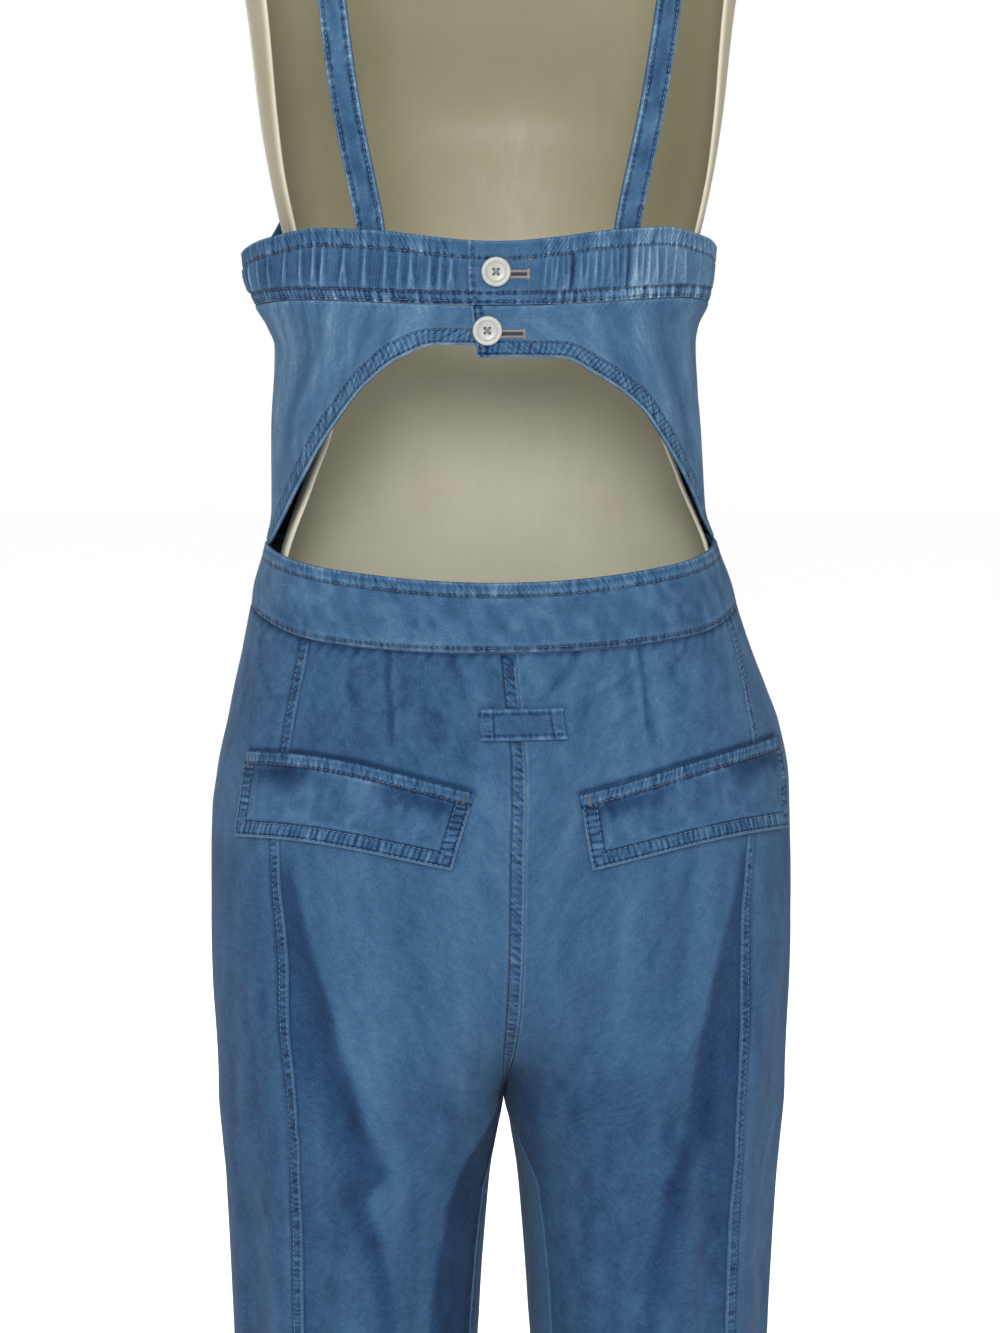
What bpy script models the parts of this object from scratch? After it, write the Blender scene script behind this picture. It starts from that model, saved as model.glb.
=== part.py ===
"""Denim jumpsuit with an open back, worn by an armless hollow-back torso form on a stand.

Metres, +Z up. The wearer faces -Y, so the open back looks along +Y and the wearer's left is +X.
The origin is the middle of the base plate's underside.
"""

import bisect
import math
from collections import namedtuple

import bmesh
import bpy
from mathutils import Vector

# Cloth and seams
WALL = 0.002
DOUBLE_WALL = 0.003
SEAM_GAP = 0.0003
LAP_CLEARANCE = 0.0005
LAID_CLEARANCE = 0.0005
HALF_SEAM_ANGLE = SEAM_GAP / 0.10 / 2
HALF_SEAM_SHARE = SEAM_GAP / 0.40 / 2

# Heights of the garment's main lines
HEM = 0.062
CROTCH = 0.745
CROTCH_CURVE_TOP = 0.945
CROTCH_CURVE_POWER = 3.6
THIGH_POWER = 1.9
SEAT_FULLNESS = 0.36
SIDE_TOP = 1.2765

# Angles from centre back towards the wearer's left
SIDE_SEAM = math.radians(97)
PLACKET_OVER = math.radians(6)
PLACKET_UNDER = math.radians(-12)
PLACKET_RISE = math.radians(8)
PLACKET_MARGIN = math.radians(1.5)

# Shares round a leg, from 0 at its front inner edge past the outside to 1 at its back inner edge
LEG_SIDE_SEAM = 0.47

# Elastic casing across the back
GATHERS_PER_SIDE = 19
GATHER_DEPTH = 0.0016
GATHER_STEPS = 4

# Small pieces
STRAP_WIDTH = 0.017
STRAP_WALL = 0.0024
STRAP_LIFT = 0.0008
STRAP_CASING_CLEARANCE = 0.0014
BUTTON_RADIUS = 0.0086
BUTTON_THICKNESS = 0.0030
BUTTON_SIDES = 26
BUTTON_HOLE_RADIUS = 0.0009
BUTTON_HOLE_SPREAD = 0.0019
TAB_HEIGHT = 1.0035
TAB_HALF_ANGLE = math.radians(7.6)
TAB_HALF_HEIGHT = 0.0095
TAB_BRIDGE = 0.0010

# Torso form and its stand
FORM_WALL = 0.003
FORM_COLUMNS = 20
BOARD_HEIGHT = 0.900
BOARD_THICKNESS = 0.012
POLE_X = -0.098
POLE_Y = -0.028
POLE_RADIUS = 0.0105
BASE_SIDE = 0.380
BASE_THICKNESS = 0.006
BASE_CORNER = 0.020
BASE_EDGE = 0.0015

Section = namedtuple("Section", "height half_width centre_x back_depth front_depth squareness")

# The garment's outer face, from the crotch to the neckline
GARMENT = [
    Section(0.745, 0.1824, 0.0000, 0.108, 0.104, 2.20),
    Section(0.823, 0.1862, 0.0000, 0.116, 0.110, 2.20),
    Section(0.876, 0.1849, 0.0000, 0.121, 0.114, 2.20),
    Section(0.929, 0.1830, 0.0000, 0.122, 0.116, 2.15),
    Section(0.955, 0.1803, -0.0010, 0.120, 0.116, 2.15),
    Section(0.981, 0.1748, -0.0010, 0.117, 0.115, 2.15),
    Section(1.006, 0.1675, 0.0010, 0.113, 0.114, 2.15),
    Section(1.032, 0.1595, 0.0030, 0.109, 0.112, 2.15),
    Section(1.057, 0.1528, 0.0047, 0.106, 0.110, 2.15),
    Section(1.070, 0.1500, 0.0055, 0.105, 0.109, 2.15),
    Section(1.096, 0.1412, 0.0066, 0.103, 0.107, 2.15),
    Section(1.120, 0.1350, 0.0084, 0.102, 0.107, 2.15),
    Section(1.170, 0.1331, 0.0096, 0.101, 0.109, 2.15),
    Section(1.220, 0.1300, 0.0100, 0.100, 0.114, 2.15),
    Section(1.232, 0.1330, 0.0115, 0.100, 0.116, 2.15),
    Section(1.245, 0.1396, 0.0122, 0.100, 0.118, 2.15),
    Section(1.269, 0.1450, 0.0138, 0.101, 0.122, 2.15),
    Section(1.290, 0.1462, 0.0138, 0.100, 0.126, 2.15),
    Section(1.355, 0.1500, 0.0090, 0.100, 0.133, 2.20),
    Section(1.430, 0.1530, 0.0060, 0.095, 0.117, 2.30),
]

Leg = namedtuple("Leg", "height centre_x half_width centre_y half_depth twist")

# One trouser leg's outer face; centre_x is counted from the garment's middle, twist is in degrees
LEGS = [
    Leg(0.062, 0.1020, 0.0660, 0.000, 0.0640, 30),
    Leg(0.230, 0.1000, 0.0680, 0.000, 0.0690, 30),
    Leg(0.420, 0.0975, 0.0730, 0.001, 0.0780, 30),
    Leg(0.600, 0.0955, 0.0800, 0.002, 0.0920, 30),
    Leg(0.689, 0.0940, 0.0845, 0.003, 0.1000, 26),
    Leg(0.716, 0.0930, 0.0875, 0.003, 0.1030, 14),
    Leg(0.745, 0.0912, 0.0911, 0.003, 0.1060, 0),
]

Torso = namedtuple("Torso", "height half_width centre_x front_depth rim_y rim_degrees squareness")

# The torso form's outer face, from its lower edge to the top of the neck
TORSO = [
    Torso(0.8840, 0.1690, 0.0000, 0.0980, 0.0120, 86, 2.2),
    Torso(0.9500, 0.1660, 0.0000, 0.1000, 0.0120, 86, 2.2),
    Torso(1.0300, 0.1490, 0.0025, 0.0980, 0.0140, 84, 2.2),
    Torso(1.0960, 0.1330, 0.0040, 0.0950, 0.0160, 81, 2.2),
    Torso(1.1400, 0.1170, 0.0055, 0.0930, 0.0200, 76, 2.2),
    Torso(1.1800, 0.1060, 0.0060, 0.0920, 0.0240, 72, 2.2),
    Torso(1.2150, 0.1060, 0.0060, 0.0950, 0.0260, 72, 2.2),
    Torso(1.2600, 0.1210, 0.0060, 0.1030, 0.0280, 72, 2.2),
    Torso(1.3170, 0.1345, 0.0060, 0.1160, 0.0300, 72, 2.2),
    Torso(1.3560, 0.1410, 0.0060, 0.1240, 0.0300, 70, 2.2),
    Torso(1.4200, 0.1480, 0.0060, 0.1110, 0.0280, 68, 2.2),
    Torso(1.4800, 0.1580, 0.0060, 0.0920, 0.0260, 66, 2.2),
    Torso(1.5220, 0.1650, 0.0060, 0.0760, 0.0240, 66, 2.2),
    Torso(1.5430, 0.1530, 0.0060, 0.0660, 0.0220, 66, 2.1),
    Torso(1.5570, 0.1240, 0.0060, 0.0600, 0.0220, 66, 2.1),
    Torso(1.5690, 0.0900, 0.0060, 0.0560, 0.0220, 66, 2.0),
    Torso(1.5820, 0.0650, 0.0060, 0.0530, 0.0220, 66, 2.0),
    Torso(1.6050, 0.0530, 0.0060, 0.0510, 0.0220, 66, 2.0),
    Torso(1.6400, 0.0510, 0.0060, 0.0500, 0.0220, 66, 2.0),
    Torso(1.6415, 0.0465, 0.0060, 0.0455, 0.0200, 66, 2.0),
    Torso(1.6425, 0.0250, 0.0060, 0.0245, 0.0110, 66, 2.0),
    Torso(1.6430, 0.0060, 0.0060, 0.0060, 0.0026, 66, 2.0),
]
TORSO_EXTRA_HEIGHTS = (0.917, 0.990, 1.063, 1.237, 1.288, 1.388, 1.450, 1.502)

EdgePoint = namedtuple("EdgePoint", "degrees height")

# Edges of the garment, by the angle from centre back on either side
WAIST_TOP = [
    EdgePoint(0, 1.0870),
    EdgePoint(45, 1.0925),
    EdgePoint(90, 1.0985),
    EdgePoint(180, 1.0985),
]
WAIST_BOTTOM = [
    EdgePoint(0, 1.0455),
    EdgePoint(45, 1.0490),
    EdgePoint(90, 1.0600),
    EdgePoint(180, 1.0600),
]
BAND_BOTTOM = [
    EdgePoint(0, 1.2500),
    EdgePoint(45, 1.2520),
    EdgePoint(97, 1.2450),
]
BAND_TOP = [
    EdgePoint(0, 1.2870),
    EdgePoint(28, 1.2930),
    EdgePoint(42, 1.2940),
    EdgePoint(62, 1.2880),
    EdgePoint(97, SIDE_TOP),
]
FRONT_TOP = [
    EdgePoint(97, SIDE_TOP),
    EdgePoint(116, 1.2790),
    EdgePoint(129, 1.3000),
    EdgePoint(137, 1.3500),
    EdgePoint(143, 1.4150),
    EdgePoint(149, 1.4270),
    EdgePoint(165, 1.4120),
    EdgePoint(180, 1.4060),
]

# The arch of the open back, by the angle towards each back piece's own side
ARCH_LEFT = [
    EdgePoint(-12, 1.2260),
    EdgePoint(15, 1.2269),
    EdgePoint(26, 1.2191),
    EdgePoint(36.5, 1.2028),
    EdgePoint(48, 1.1753),
    EdgePoint(61, 1.1436),
    EdgePoint(75, 1.1160),
    EdgePoint(87, 1.0995),
]
ARCH_RIGHT = [
    EdgePoint(-6, 1.2200),
    EdgePoint(13, 1.2190),
    EdgePoint(24, 1.2080),
    EdgePoint(37.8, 1.1885),
    EdgePoint(47.5, 1.1664),
    EdgePoint(61.5, 1.1365),
    EdgePoint(73, 1.1150),
    EdgePoint(84, 1.0995),
]

GatherRow = namedtuple("GatherRow", "up strength")

# How full the casing's gathers are from its lower to its upper edge, pinched along the stitching
GATHER_ROWS = [
    GatherRow(0.00, 0.25),
    GatherRow(0.40, 1.00),
    GatherRow(0.78, 0.15),
    GatherRow(1.00, 0.80),
]

PrincessPoint = namedtuple("PrincessPoint", "height left_share right_share")

# The seam between a leg's back and its side panel
PRINCESS = [
    PrincessPoint(0.062, 0.6920, 0.6920),
    PrincessPoint(0.600, 0.6960, 0.6960),
    PrincessPoint(0.660, 0.6950, 0.6950),
    PrincessPoint(0.690, 0.6930, 0.6930),
    PrincessPoint(0.705, 0.6875, 0.6875),
    PrincessPoint(0.720, 0.6800, 0.6795),
    PrincessPoint(0.732, 0.6740, 0.6740),
    PrincessPoint(0.745, 0.6700, 0.6705),
    PrincessPoint(0.758, 0.6745, 0.6765),
    PrincessPoint(0.783, 0.6850, 0.6875),
    PrincessPoint(0.807, 0.6940, 0.6990),
    PrincessPoint(0.831, 0.7055, 0.7115),
    PrincessPoint(0.856, 0.7165, 0.7220),
    PrincessPoint(0.882, 0.7205, 0.7305),
    PrincessPoint(0.900, 0.7190, 0.7290),
    PrincessPoint(0.980, 0.7160, 0.6920),
    PrincessPoint(1.060, 0.7250, 0.6500),
]

Fold = namedtuple("Fold", "top bottom top_share bottom_share half_width depth")

# Soft troughs on the legs
LEG_FOLDS = [
    Fold(0.900, 0.480, 0.736, 0.716, 0.052, 0.0085),
    Fold(0.860, 0.420, 0.600, 0.585, 0.050, 0.0040),
    Fold(0.700, 0.300, 0.890, 0.930, 0.050, 0.0045),
    Fold(0.900, 0.480, 0.300, 0.240, 0.055, 0.0065),
    Fold(0.720, 0.250, 0.120, 0.080, 0.050, 0.0045),
    Fold(0.460, 0.150, 0.500, 0.450, 0.060, 0.0040),
]
LEG_HEIGHTS = [
    HEM, 0.170, 0.300, 0.420, 0.540, 0.630, 0.685, 0.716, 0.735, CROTCH, 0.7485, 0.756,
    0.768, 0.785, 0.810, 0.840, 0.875, 0.910, 0.945, 0.975, 1.006, 1.032, 1.057,
]
WAIST_FOLLOW = 0.080

Flap = namedtuple("Flap", "name side inner_top outer_top inner_bottom outer_bottom top_bow")

# The pocket flaps' corners
FLAPS = [
    Flap(
        "flap_left",
        1,
        EdgePoint(8.6, 0.9637),
        EdgePoint(66.0, 0.9780),
        EdgePoint(12.2, 0.9185),
        EdgePoint(64.5, 0.9270),
        0.0100,
    ),
    Flap(
        "flap_right",
        -1,
        EdgePoint(8.7, 0.9609),
        EdgePoint(70.4, 0.9788),
        EdgePoint(11.0, 0.9162),
        EdgePoint(66.5, 0.9223),
        0.0070,
    ),
]
FLAP_BOTTOM_BOW = 0.0080
FLAP_STAND_OFF = 0.0030

ButtonSeat = namedtuple("ButtonSeat", "name degrees height")
BUTTONS = [
    ButtonSeat("button_upper", 0.5, 1.2695),
    ButtonSeat("button_lower", 3.0, 1.2355),
]

StrapCasing = namedtuple("StrapCasing", "out height")
StrapBack = namedtuple("StrapBack", "out y height")
StrapFront = namedtuple("StrapFront", "degrees height")

# A strap's middle line: inside the casing, free up to the shoulder, then lying on the form
STRAP_CASING = [
    StrapCasing(0.0765, 1.268),
    StrapCasing(0.0785, 1.298),
]
STRAP_BACK = [
    StrapBack(0.0910, 0.0740, 1.370),
    StrapBack(0.1020, 0.0620, 1.450),
    StrapBack(0.1090, 0.0480, 1.520),
    StrapBack(0.1120, 0.0340, 1.554),
]
STRAP_FRONT = [
    StrapFront(76.0, 1.5602),
    StrapFront(94.0, 1.5595),
    StrapFront(112.0, 1.5570),
    StrapFront(127.0, 1.5500),
    StrapFront(137.5, 1.5350),
    StrapFront(142.0, 1.5100),
    StrapFront(144.6, 1.4700),
    StrapFront(146.0, 1.4300),
    StrapFront(145.7, 1.4030),
]
STRAP_BACK_CENTRE_X = 0.0105

CollarPoint = namedtuple("CollarPoint", "out height")

# A collar on the pole, counted from the pole's surface and the collar's wide foot
COLLAR = [
    CollarPoint(SEAM_GAP, 0.0300),
    CollarPoint(SEAM_GAP, 0.0000),
    CollarPoint(0.0200, 0.0000),
    CollarPoint(0.0200, 0.0045),
    CollarPoint(0.0065, 0.0060),
    CollarPoint(0.0065, 0.0285),
    CollarPoint(0.0050, 0.0300),
    CollarPoint(SEAM_GAP, 0.0300),
]

RimPoint = namedtuple("RimPoint", "out height")

# A button's turned profile, as shares of its radius and thickness
BUTTON_PROFILE = [
    RimPoint(0.00, 0.55),
    RimPoint(0.62, 0.55),
    RimPoint(0.76, 0.97),
    RimPoint(0.90, 1.00),
    RimPoint(1.00, 0.60),
    RimPoint(0.93, 0.00),
    RimPoint(0.00, 0.00),
]

DENIM = (0.10, 0.19, 0.33, 1.0)
DENIM_DARK = (0.07, 0.14, 0.26, 1.0)
SHELL = (0.52, 0.48, 0.36, 1.0)
STEEL = (0.55, 0.56, 0.58, 1.0)
BUTTON_WHITE = (0.70, 0.71, 0.69, 1.0)
BOARD_WOOD = (0.45, 0.33, 0.20, 1.0)


def material(name, colour, roughness, metallic=0.0):
    made = bpy.data.materials.new(name)
    made.use_nodes = True
    shader = made.node_tree.nodes["Principled BSDF"]
    shader.inputs["Base Color"].default_value = colour
    shader.inputs["Roughness"].default_value = roughness
    shader.inputs["Metallic"].default_value = metallic
    made.diffuse_color = colour
    return made


def between(low, high, share):
    return low + (high - low) * share


def smoothstep(value, low, high):
    share = min(1.0, max(0.0, (value - low) / (high - low)))
    return share * share * (3 - 2 * share)


def row_at(rows, key):
    """A table's row at a key, on a smooth curve through its rows that never overshoots them."""
    if key <= rows[0][0]:
        return rows[0]
    if key >= rows[-1][0]:
        return rows[-1]
    i = bisect.bisect_right([row[0] for row in rows], key) - 1
    span = rows[i + 1][0] - rows[i][0]
    t = (key - rows[i][0]) / span

    def slope(at, column):
        if at in (0, len(rows) - 1):
            return 0.0
        before = (rows[at][column] - rows[at - 1][column]) / (rows[at][0] - rows[at - 1][0])
        after = (rows[at + 1][column] - rows[at][column]) / (rows[at + 1][0] - rows[at][0])
        return 0.0 if before * after <= 0 else 2 * before * after / (before + after)

    values = [key]
    for column in range(1, len(rows[0])):
        leave, arrive = slope(i, column) * span, slope(i + 1, column) * span
        values.append(hermite(rows[i][column], rows[i + 1][column], leave, arrive, t))
    return type(rows[0])(*values)


def hermite(start, end, leave, arrive, t):
    """A cubic curve between two values with given slopes at both ends."""
    return (
        start * (2 * t**3 - 3 * t**2 + 1)
        + leave * (t**3 - 2 * t**2 + t)
        + end * (3 * t**2 - 2 * t**3)
        + arrive * (t**3 - t**2)
    )


def signed_power(value, power):
    return math.copysign(abs(value) ** power, value)


def outward_normal(surface, u, v, step=0.002):
    """The normal that points away, where v climbs and u runs anticlockwise seen from below."""
    along = surface(u + step, v) - surface(u - step, v)
    up = surface(u, v + step) - surface(u, v - step)
    return up.cross(along).normalized()


def garment_point(angle, height):
    """The garment's outer face, at an angle from centre back towards the wearer's left."""
    ring = row_at(GARMENT, height)
    depth = ring.back_depth if math.cos(angle) > 0 else ring.front_depth
    power = 2 / ring.squareness
    x = ring.centre_x + ring.half_width * signed_power(math.sin(angle), power)
    return Vector((x, depth * signed_power(math.cos(angle), power), height))


def garment_wall(angle, height, wall, lift=0.0, wave=0.0):
    """The two faces of a garment wall; lift moves both of them out and wave only the outer one."""
    normal = outward_normal(garment_point, angle, height)
    point = garment_point(angle, height) + normal * lift
    return point + normal * wave, point - normal * wall


def torso_point(angle, height):
    """The torso form's outer face, at an angle from centre back towards the wearer's left."""
    ring = row_at(TORSO, height)
    power = 2 / ring.squareness
    x = ring.centre_x + ring.half_width * signed_power(math.sin(angle), power)
    if math.cos(angle) > 0:
        y = ring.rim_y * math.cos(angle) / math.cos(math.radians(ring.rim_degrees))
    else:
        y = ring.front_depth * signed_power(math.cos(angle), power)
    return Vector((x, y, height))


def fold_depth(share, height):
    """How far the leg's folds push its face in."""
    total = 0.0
    for fold in LEG_FOLDS:
        down = (fold.top - height) / (fold.top - fold.bottom)
        across = (share - between(fold.top_share, fold.bottom_share, down)) / fold.half_width
        if 0 < down < 1 and abs(across) < 1:
            total += fold.depth * math.sin(math.pi * down) * math.cos(math.pi * across / 2) ** 2
    return total


def smooth_leg_point(side, share, height):
    """A leg's outer face without folds: half the hips above, a closed tube below the crotch."""
    drop = (CROTCH_CURVE_TOP - height) / (CROTCH_CURVE_TOP - CROTCH)
    inside_leg = math.cos(math.pi * share) ** 4
    tube = min(1.0, max(0.0, drop)) ** between(THIGH_POWER, CROTCH_CURVE_POWER, inside_leg)
    ring = row_at(GARMENT, height)
    hips = garment_point(math.pi * (1 - share), height)
    leg = row_at(LEGS, height)
    turn = 2 * math.pi * share - math.radians(leg.twist) * math.cos(math.pi * share) ** 2
    tube_out = leg.centre_x - leg.half_width * math.cos(turn)
    tube_y = leg.centre_y - leg.half_depth * math.sin(turn)
    out = between(hips.x - ring.centre_x, tube_out, tube) + SEAM_GAP / 2
    centre = between(ring.centre_x, 0.0, tube)
    y = between(hips.y, tube_y, tube) * (1 + SEAT_FULLNESS * tube * (1 - tube))
    return Vector((centre + side * out, y, height))


def leg_wall(side, share, height, wall, lift=0.0):
    """The two faces of a leg wall, folds and all, with lift moving both of them out."""
    normal = outward_normal(lambda u, v: smooth_leg_point(side, -side * u, v), -side * share, height)
    point = smooth_leg_point(side, share, height) + normal * (lift - fold_depth(share, height))
    return point, point - normal * wall


def edge_height(edge, angle):
    """The height of an edge at an angle on either side of centre back."""
    return row_at(edge, math.degrees(abs(angle))).height


def object_from(name, made, finish, collection):
    """An object made from a finished bmesh."""
    mesh = bpy.data.meshes.new(name)
    made.to_mesh(mesh)
    made.free()
    if finish:
        mesh.materials.append(finish)
    piece = bpy.data.objects.new(name, mesh)
    collection.objects.link(piece)
    return piece


def sewn_wall(name, columns, rows, place, finish):
    """A closed wall over a grid, where place(across, up) gives its outer and its inner point."""
    made = bmesh.new()
    outer, inner = [], []
    for row in range(rows + 1):
        for column in range(columns + 1):
            outside, inside = place(column / columns, row / rows)
            outer.append(made.verts.new(outside))
            inner.append(made.verts.new(inside))
    width = columns + 1
    for row in range(rows):
        for column in range(columns):
            corner = row * width + column
            corners = (corner, corner + 1, corner + 1 + width, corner + width)
            made.faces.new([outer[i] for i in corners])
            made.faces.new([inner[i] for i in reversed(corners)])
    last = rows * width
    rim = list(range(columns))
    rim += list(range(columns, last + columns, width))
    rim += list(range(last + columns, last, -1))
    rim += list(range(last, 0, -width))
    for first, second in zip(rim, rim[1:] + rim[:1]):
        made.faces.new((outer[second], outer[first], inner[first], inner[second]))
    bmesh.ops.recalc_face_normals(made, faces=made.faces[:])
    return object_from(name, made, finish, PIECES)


def free_wall(name, columns, rows, place, finish, wall, offset):
    """A wall grown from one face of points place(across, up), for a piece with free edges."""
    made = bmesh.new()
    bmesh.ops.create_grid(made, x_segments=columns, y_segments=rows, size=0.5)
    for vertex in made.verts:
        vertex.co = place(vertex.co.x + 0.5, vertex.co.y + 0.5)
    piece = object_from(name, made, finish, PIECES)
    solid = piece.modifiers.new("wall", "SOLIDIFY")
    solid.thickness = wall
    solid.offset = offset
    solid.use_even_offset = True
    return piece


def lap_lift(angle, wall):
    """How far the wearer's right pieces stand out where they cover the left ones."""
    covered = PLACKET_UNDER - PLACKET_MARGIN
    return (wall + LAP_CLEARANCE) * smoothstep(angle, covered - PLACKET_RISE, covered)


def gather_wave(angle, strength):
    """The casing's gathers, left out of the flat placket in the middle."""
    start = abs(PLACKET_UNDER) + PLACKET_MARGIN
    share = (abs(angle) - start) / (SIDE_SEAM - start)
    if share < 0:
        return 0.0
    drift = 0.22 * math.sin(7.3 * share + math.copysign(0.6, angle))
    wave = 0.5 - 0.5 * math.cos(2 * math.pi * (GATHERS_PER_SIDE * share + drift))
    fade = smoothstep(share, 0.0, 0.04) * smoothstep(1 - share, 0.0, 0.03)
    return GATHER_DEPTH * wave * fade * strength


def band(name, start, end, covers, denim):
    """Half of the elastic casing, from its placket end to the side seam."""
    rows = len(GATHER_ROWS) - 1

    def place(across, up):
        angle = between(start, end, across)
        row = GATHER_ROWS[round(up * rows)]
        low = edge_height(BAND_BOTTOM, angle) + SEAM_GAP / 2
        height = between(low, edge_height(BAND_TOP, angle), row.up)
        lift = lap_lift(angle, DOUBLE_WALL) if covers else 0.0
        return garment_wall(angle, height, DOUBLE_WALL, lift, gather_wave(angle, row.strength))

    sewn_wall(name, GATHER_STEPS * (GATHERS_PER_SIDE + 1), rows, place, denim)


def back_bodice(name, side, arch, start, end, covers, denim):
    """Half of the back under the casing, cut away in an arch above the waistband."""

    def place(across, up):
        angle = between(start, end, across)
        top = edge_height(BAND_BOTTOM, angle) - SEAM_GAP / 2
        arch_height = row_at(arch, math.degrees(side * angle)).height
        low = max(arch_height, edge_height(WAIST_TOP, angle) + SEAM_GAP)
        lift = lap_lift(angle, DOUBLE_WALL) if covers else 0.0
        return garment_wall(angle, between(low, top, up), WALL, lift)

    sewn_wall(name, 20, 5, place, denim)


def front_bodice(denim):
    """The whole front above the waistband, up to the neckline and the armholes."""
    start = SIDE_SEAM + HALF_SEAM_ANGLE
    end = 2 * math.pi - start

    def place(across, up):
        angle = between(start, end, across)
        mirrored = min(angle, 2 * math.pi - angle)
        low = edge_height(WAIST_TOP, mirrored) + SEAM_GAP
        return garment_wall(angle, between(low, edge_height(FRONT_TOP, mirrored), up), WALL)

    sewn_wall("bodice_front", 24, 10, place, denim)


def waistband(name, start, end, denim):
    """One half of the waistband, between the side seams."""

    def place(across, up):
        angle = between(start, end, across)
        mirrored = min(abs(angle), 2 * math.pi - angle)
        low, top = edge_height(WAIST_BOTTOM, mirrored), edge_height(WAIST_TOP, mirrored)
        return garment_wall(angle, between(low, top, up), DOUBLE_WALL)

    sewn_wall(name, 22, 2, place, denim)


def leg_height(share, row):
    """The height of one of the leg's rows, the upper ones following the waistband's lower edge."""
    height = LEG_HEIGHTS[row]
    top = edge_height(WAIST_BOTTOM, math.pi * (1 - share)) - SEAM_GAP
    follow = smoothstep(height, LEG_HEIGHTS[-1] - WAIST_FOLLOW, LEG_HEIGHTS[-1])
    return height + (top - LEG_HEIGHTS[-1]) * follow


def leg_panel(name, side, columns, first_edge, last_edge, denim):
    """One panel of a leg between two edges, each the share round the leg at a height."""
    rows = len(LEG_HEIGHTS) - 1

    def place(across, up):
        row = round(up * rows)
        level = LEG_HEIGHTS[row]
        share = between(first_edge(level), last_edge(level), across)
        return leg_wall(side, share, leg_height(share, row), WALL)

    sewn_wall(name, columns, rows, place, denim)


def legs(denim):
    seam = HALF_SEAM_SHARE

    for side, word in ((1, "left"), (-1, "right")):

        def princess(height):
            row = row_at(PRINCESS, height)
            return row.left_share if side > 0 else row.right_share

        front = f"leg_front_{word}"
        outside = f"leg_side_{word}"
        back = f"leg_back_{word}"
        leg_panel(front, side, 11, lambda z: seam, lambda z: LEG_SIDE_SEAM - seam, denim)
        leg_panel(outside, side, 5, lambda z: LEG_SIDE_SEAM + seam, lambda z: princess(z) - seam, denim)
        leg_panel(back, side, 9, lambda z: princess(z) + seam, lambda z: 1 - seam, denim)


def pocket_flap(flap, denim):
    """A pocket flap lying on the leg panels, a little proud along its lower edge."""

    def place(across, up):
        top_degrees = between(flap.inner_top.degrees, flap.outer_top.degrees, across)
        low_degrees = between(flap.inner_bottom.degrees, flap.outer_bottom.degrees, across)
        bow = math.sin(math.pi * across)
        top = between(flap.inner_top.height, flap.outer_top.height, across) + flap.top_bow * bow
        low = between(flap.inner_bottom.height, flap.outer_bottom.height, across)
        height = between(low + FLAP_BOTTOM_BOW * bow, top, up)
        share = 1 - between(low_degrees, top_degrees, up) / 180
        lift = LAID_CLEARANCE + FLAP_STAND_OFF * (1 - up) ** 2
        return leg_wall(flap.side, share, height, WALL, lift + WALL)

    sewn_wall(flap.name, 14, 4, place, denim)


def back_tab(denim):
    """The short loop of cloth across the centre back seam."""

    def place(across, up):
        angle = between(-TAB_HALF_ANGLE, TAB_HALF_ANGLE, across)
        height = TAB_HEIGHT + between(-TAB_HALF_HEIGHT, TAB_HALF_HEIGHT, up)
        lift = LAID_CLEARANCE + TAB_BRIDGE * math.sin(math.pi * across)
        return garment_wall(angle, height, WALL, lift + WALL)

    sewn_wall("back_tab", 10, 1, place, denim)


def strap_path(side):
    """A strap's middle line from the casing to inside the neckline, and its outward directions."""
    form_middle = TORSO[-1].centre_x
    first = STRAP_FRONT[0]
    shoulder = outward_normal(torso_point, side * math.radians(first.degrees), first.height)
    points, normals = [], []
    for row in STRAP_CASING:
        ring = row_at(GARMENT, row.height)
        across = (STRAP_BACK_CENTRE_X + side * row.out - ring.centre_x) / ring.half_width
        angle = math.asin(signed_power(across, ring.squareness / 2))
        depth = DOUBLE_WALL + STRAP_CASING_CLEARANCE + STRAP_WALL / 2
        points.append(garment_wall(angle, row.height, depth)[1])
        normals.append(outward_normal(garment_point, angle, row.height))
    casing = normals[-1]
    for row in STRAP_BACK:
        climb = smoothstep(row.height, STRAP_CASING[-1].height, STRAP_BACK[-2].height)
        x = between(STRAP_BACK_CENTRE_X, form_middle, climb) + side * row.out
        points.append(Vector((x, row.y, row.height)))
        normals.append(casing.lerp(shoulder, climb))
    for row in STRAP_FRONT:
        angle = side * math.radians(row.degrees)
        normals.append(outward_normal(torso_point, angle, row.height))
        lift = STRAP_LIFT + STRAP_WALL / 2
        points.append(torso_point(angle, row.height) + normals[-1] * lift)
    return points, normals


def along_path(path, share):
    """A point on the smooth curve through a path."""
    place = min(share * (len(path) - 1), len(path) - 1.001)
    i = int(place)
    start, end = path[i], path[i + 1]
    leave = (end - path[max(i - 1, 0)]) / 2
    arrive = (path[min(i + 2, len(path) - 1)] - start) / 2
    return hermite(start, end, leave, arrive, place - i)


def strap(name, side, denim):
    points, normals = strap_path(side)

    def place(across, up):
        point = along_path(points, up)
        direction = along_path(points, min(up, 0.999) + 0.001) - along_path(points, min(up, 0.999))
        width = direction.cross(along_path(normals, up)).normalized()
        return point + width * between(-STRAP_WIDTH / 2, STRAP_WIDTH / 2, across)

    free_wall(name, 2, 2 * (len(points) - 1), place, denim, STRAP_WALL, 0)


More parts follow.
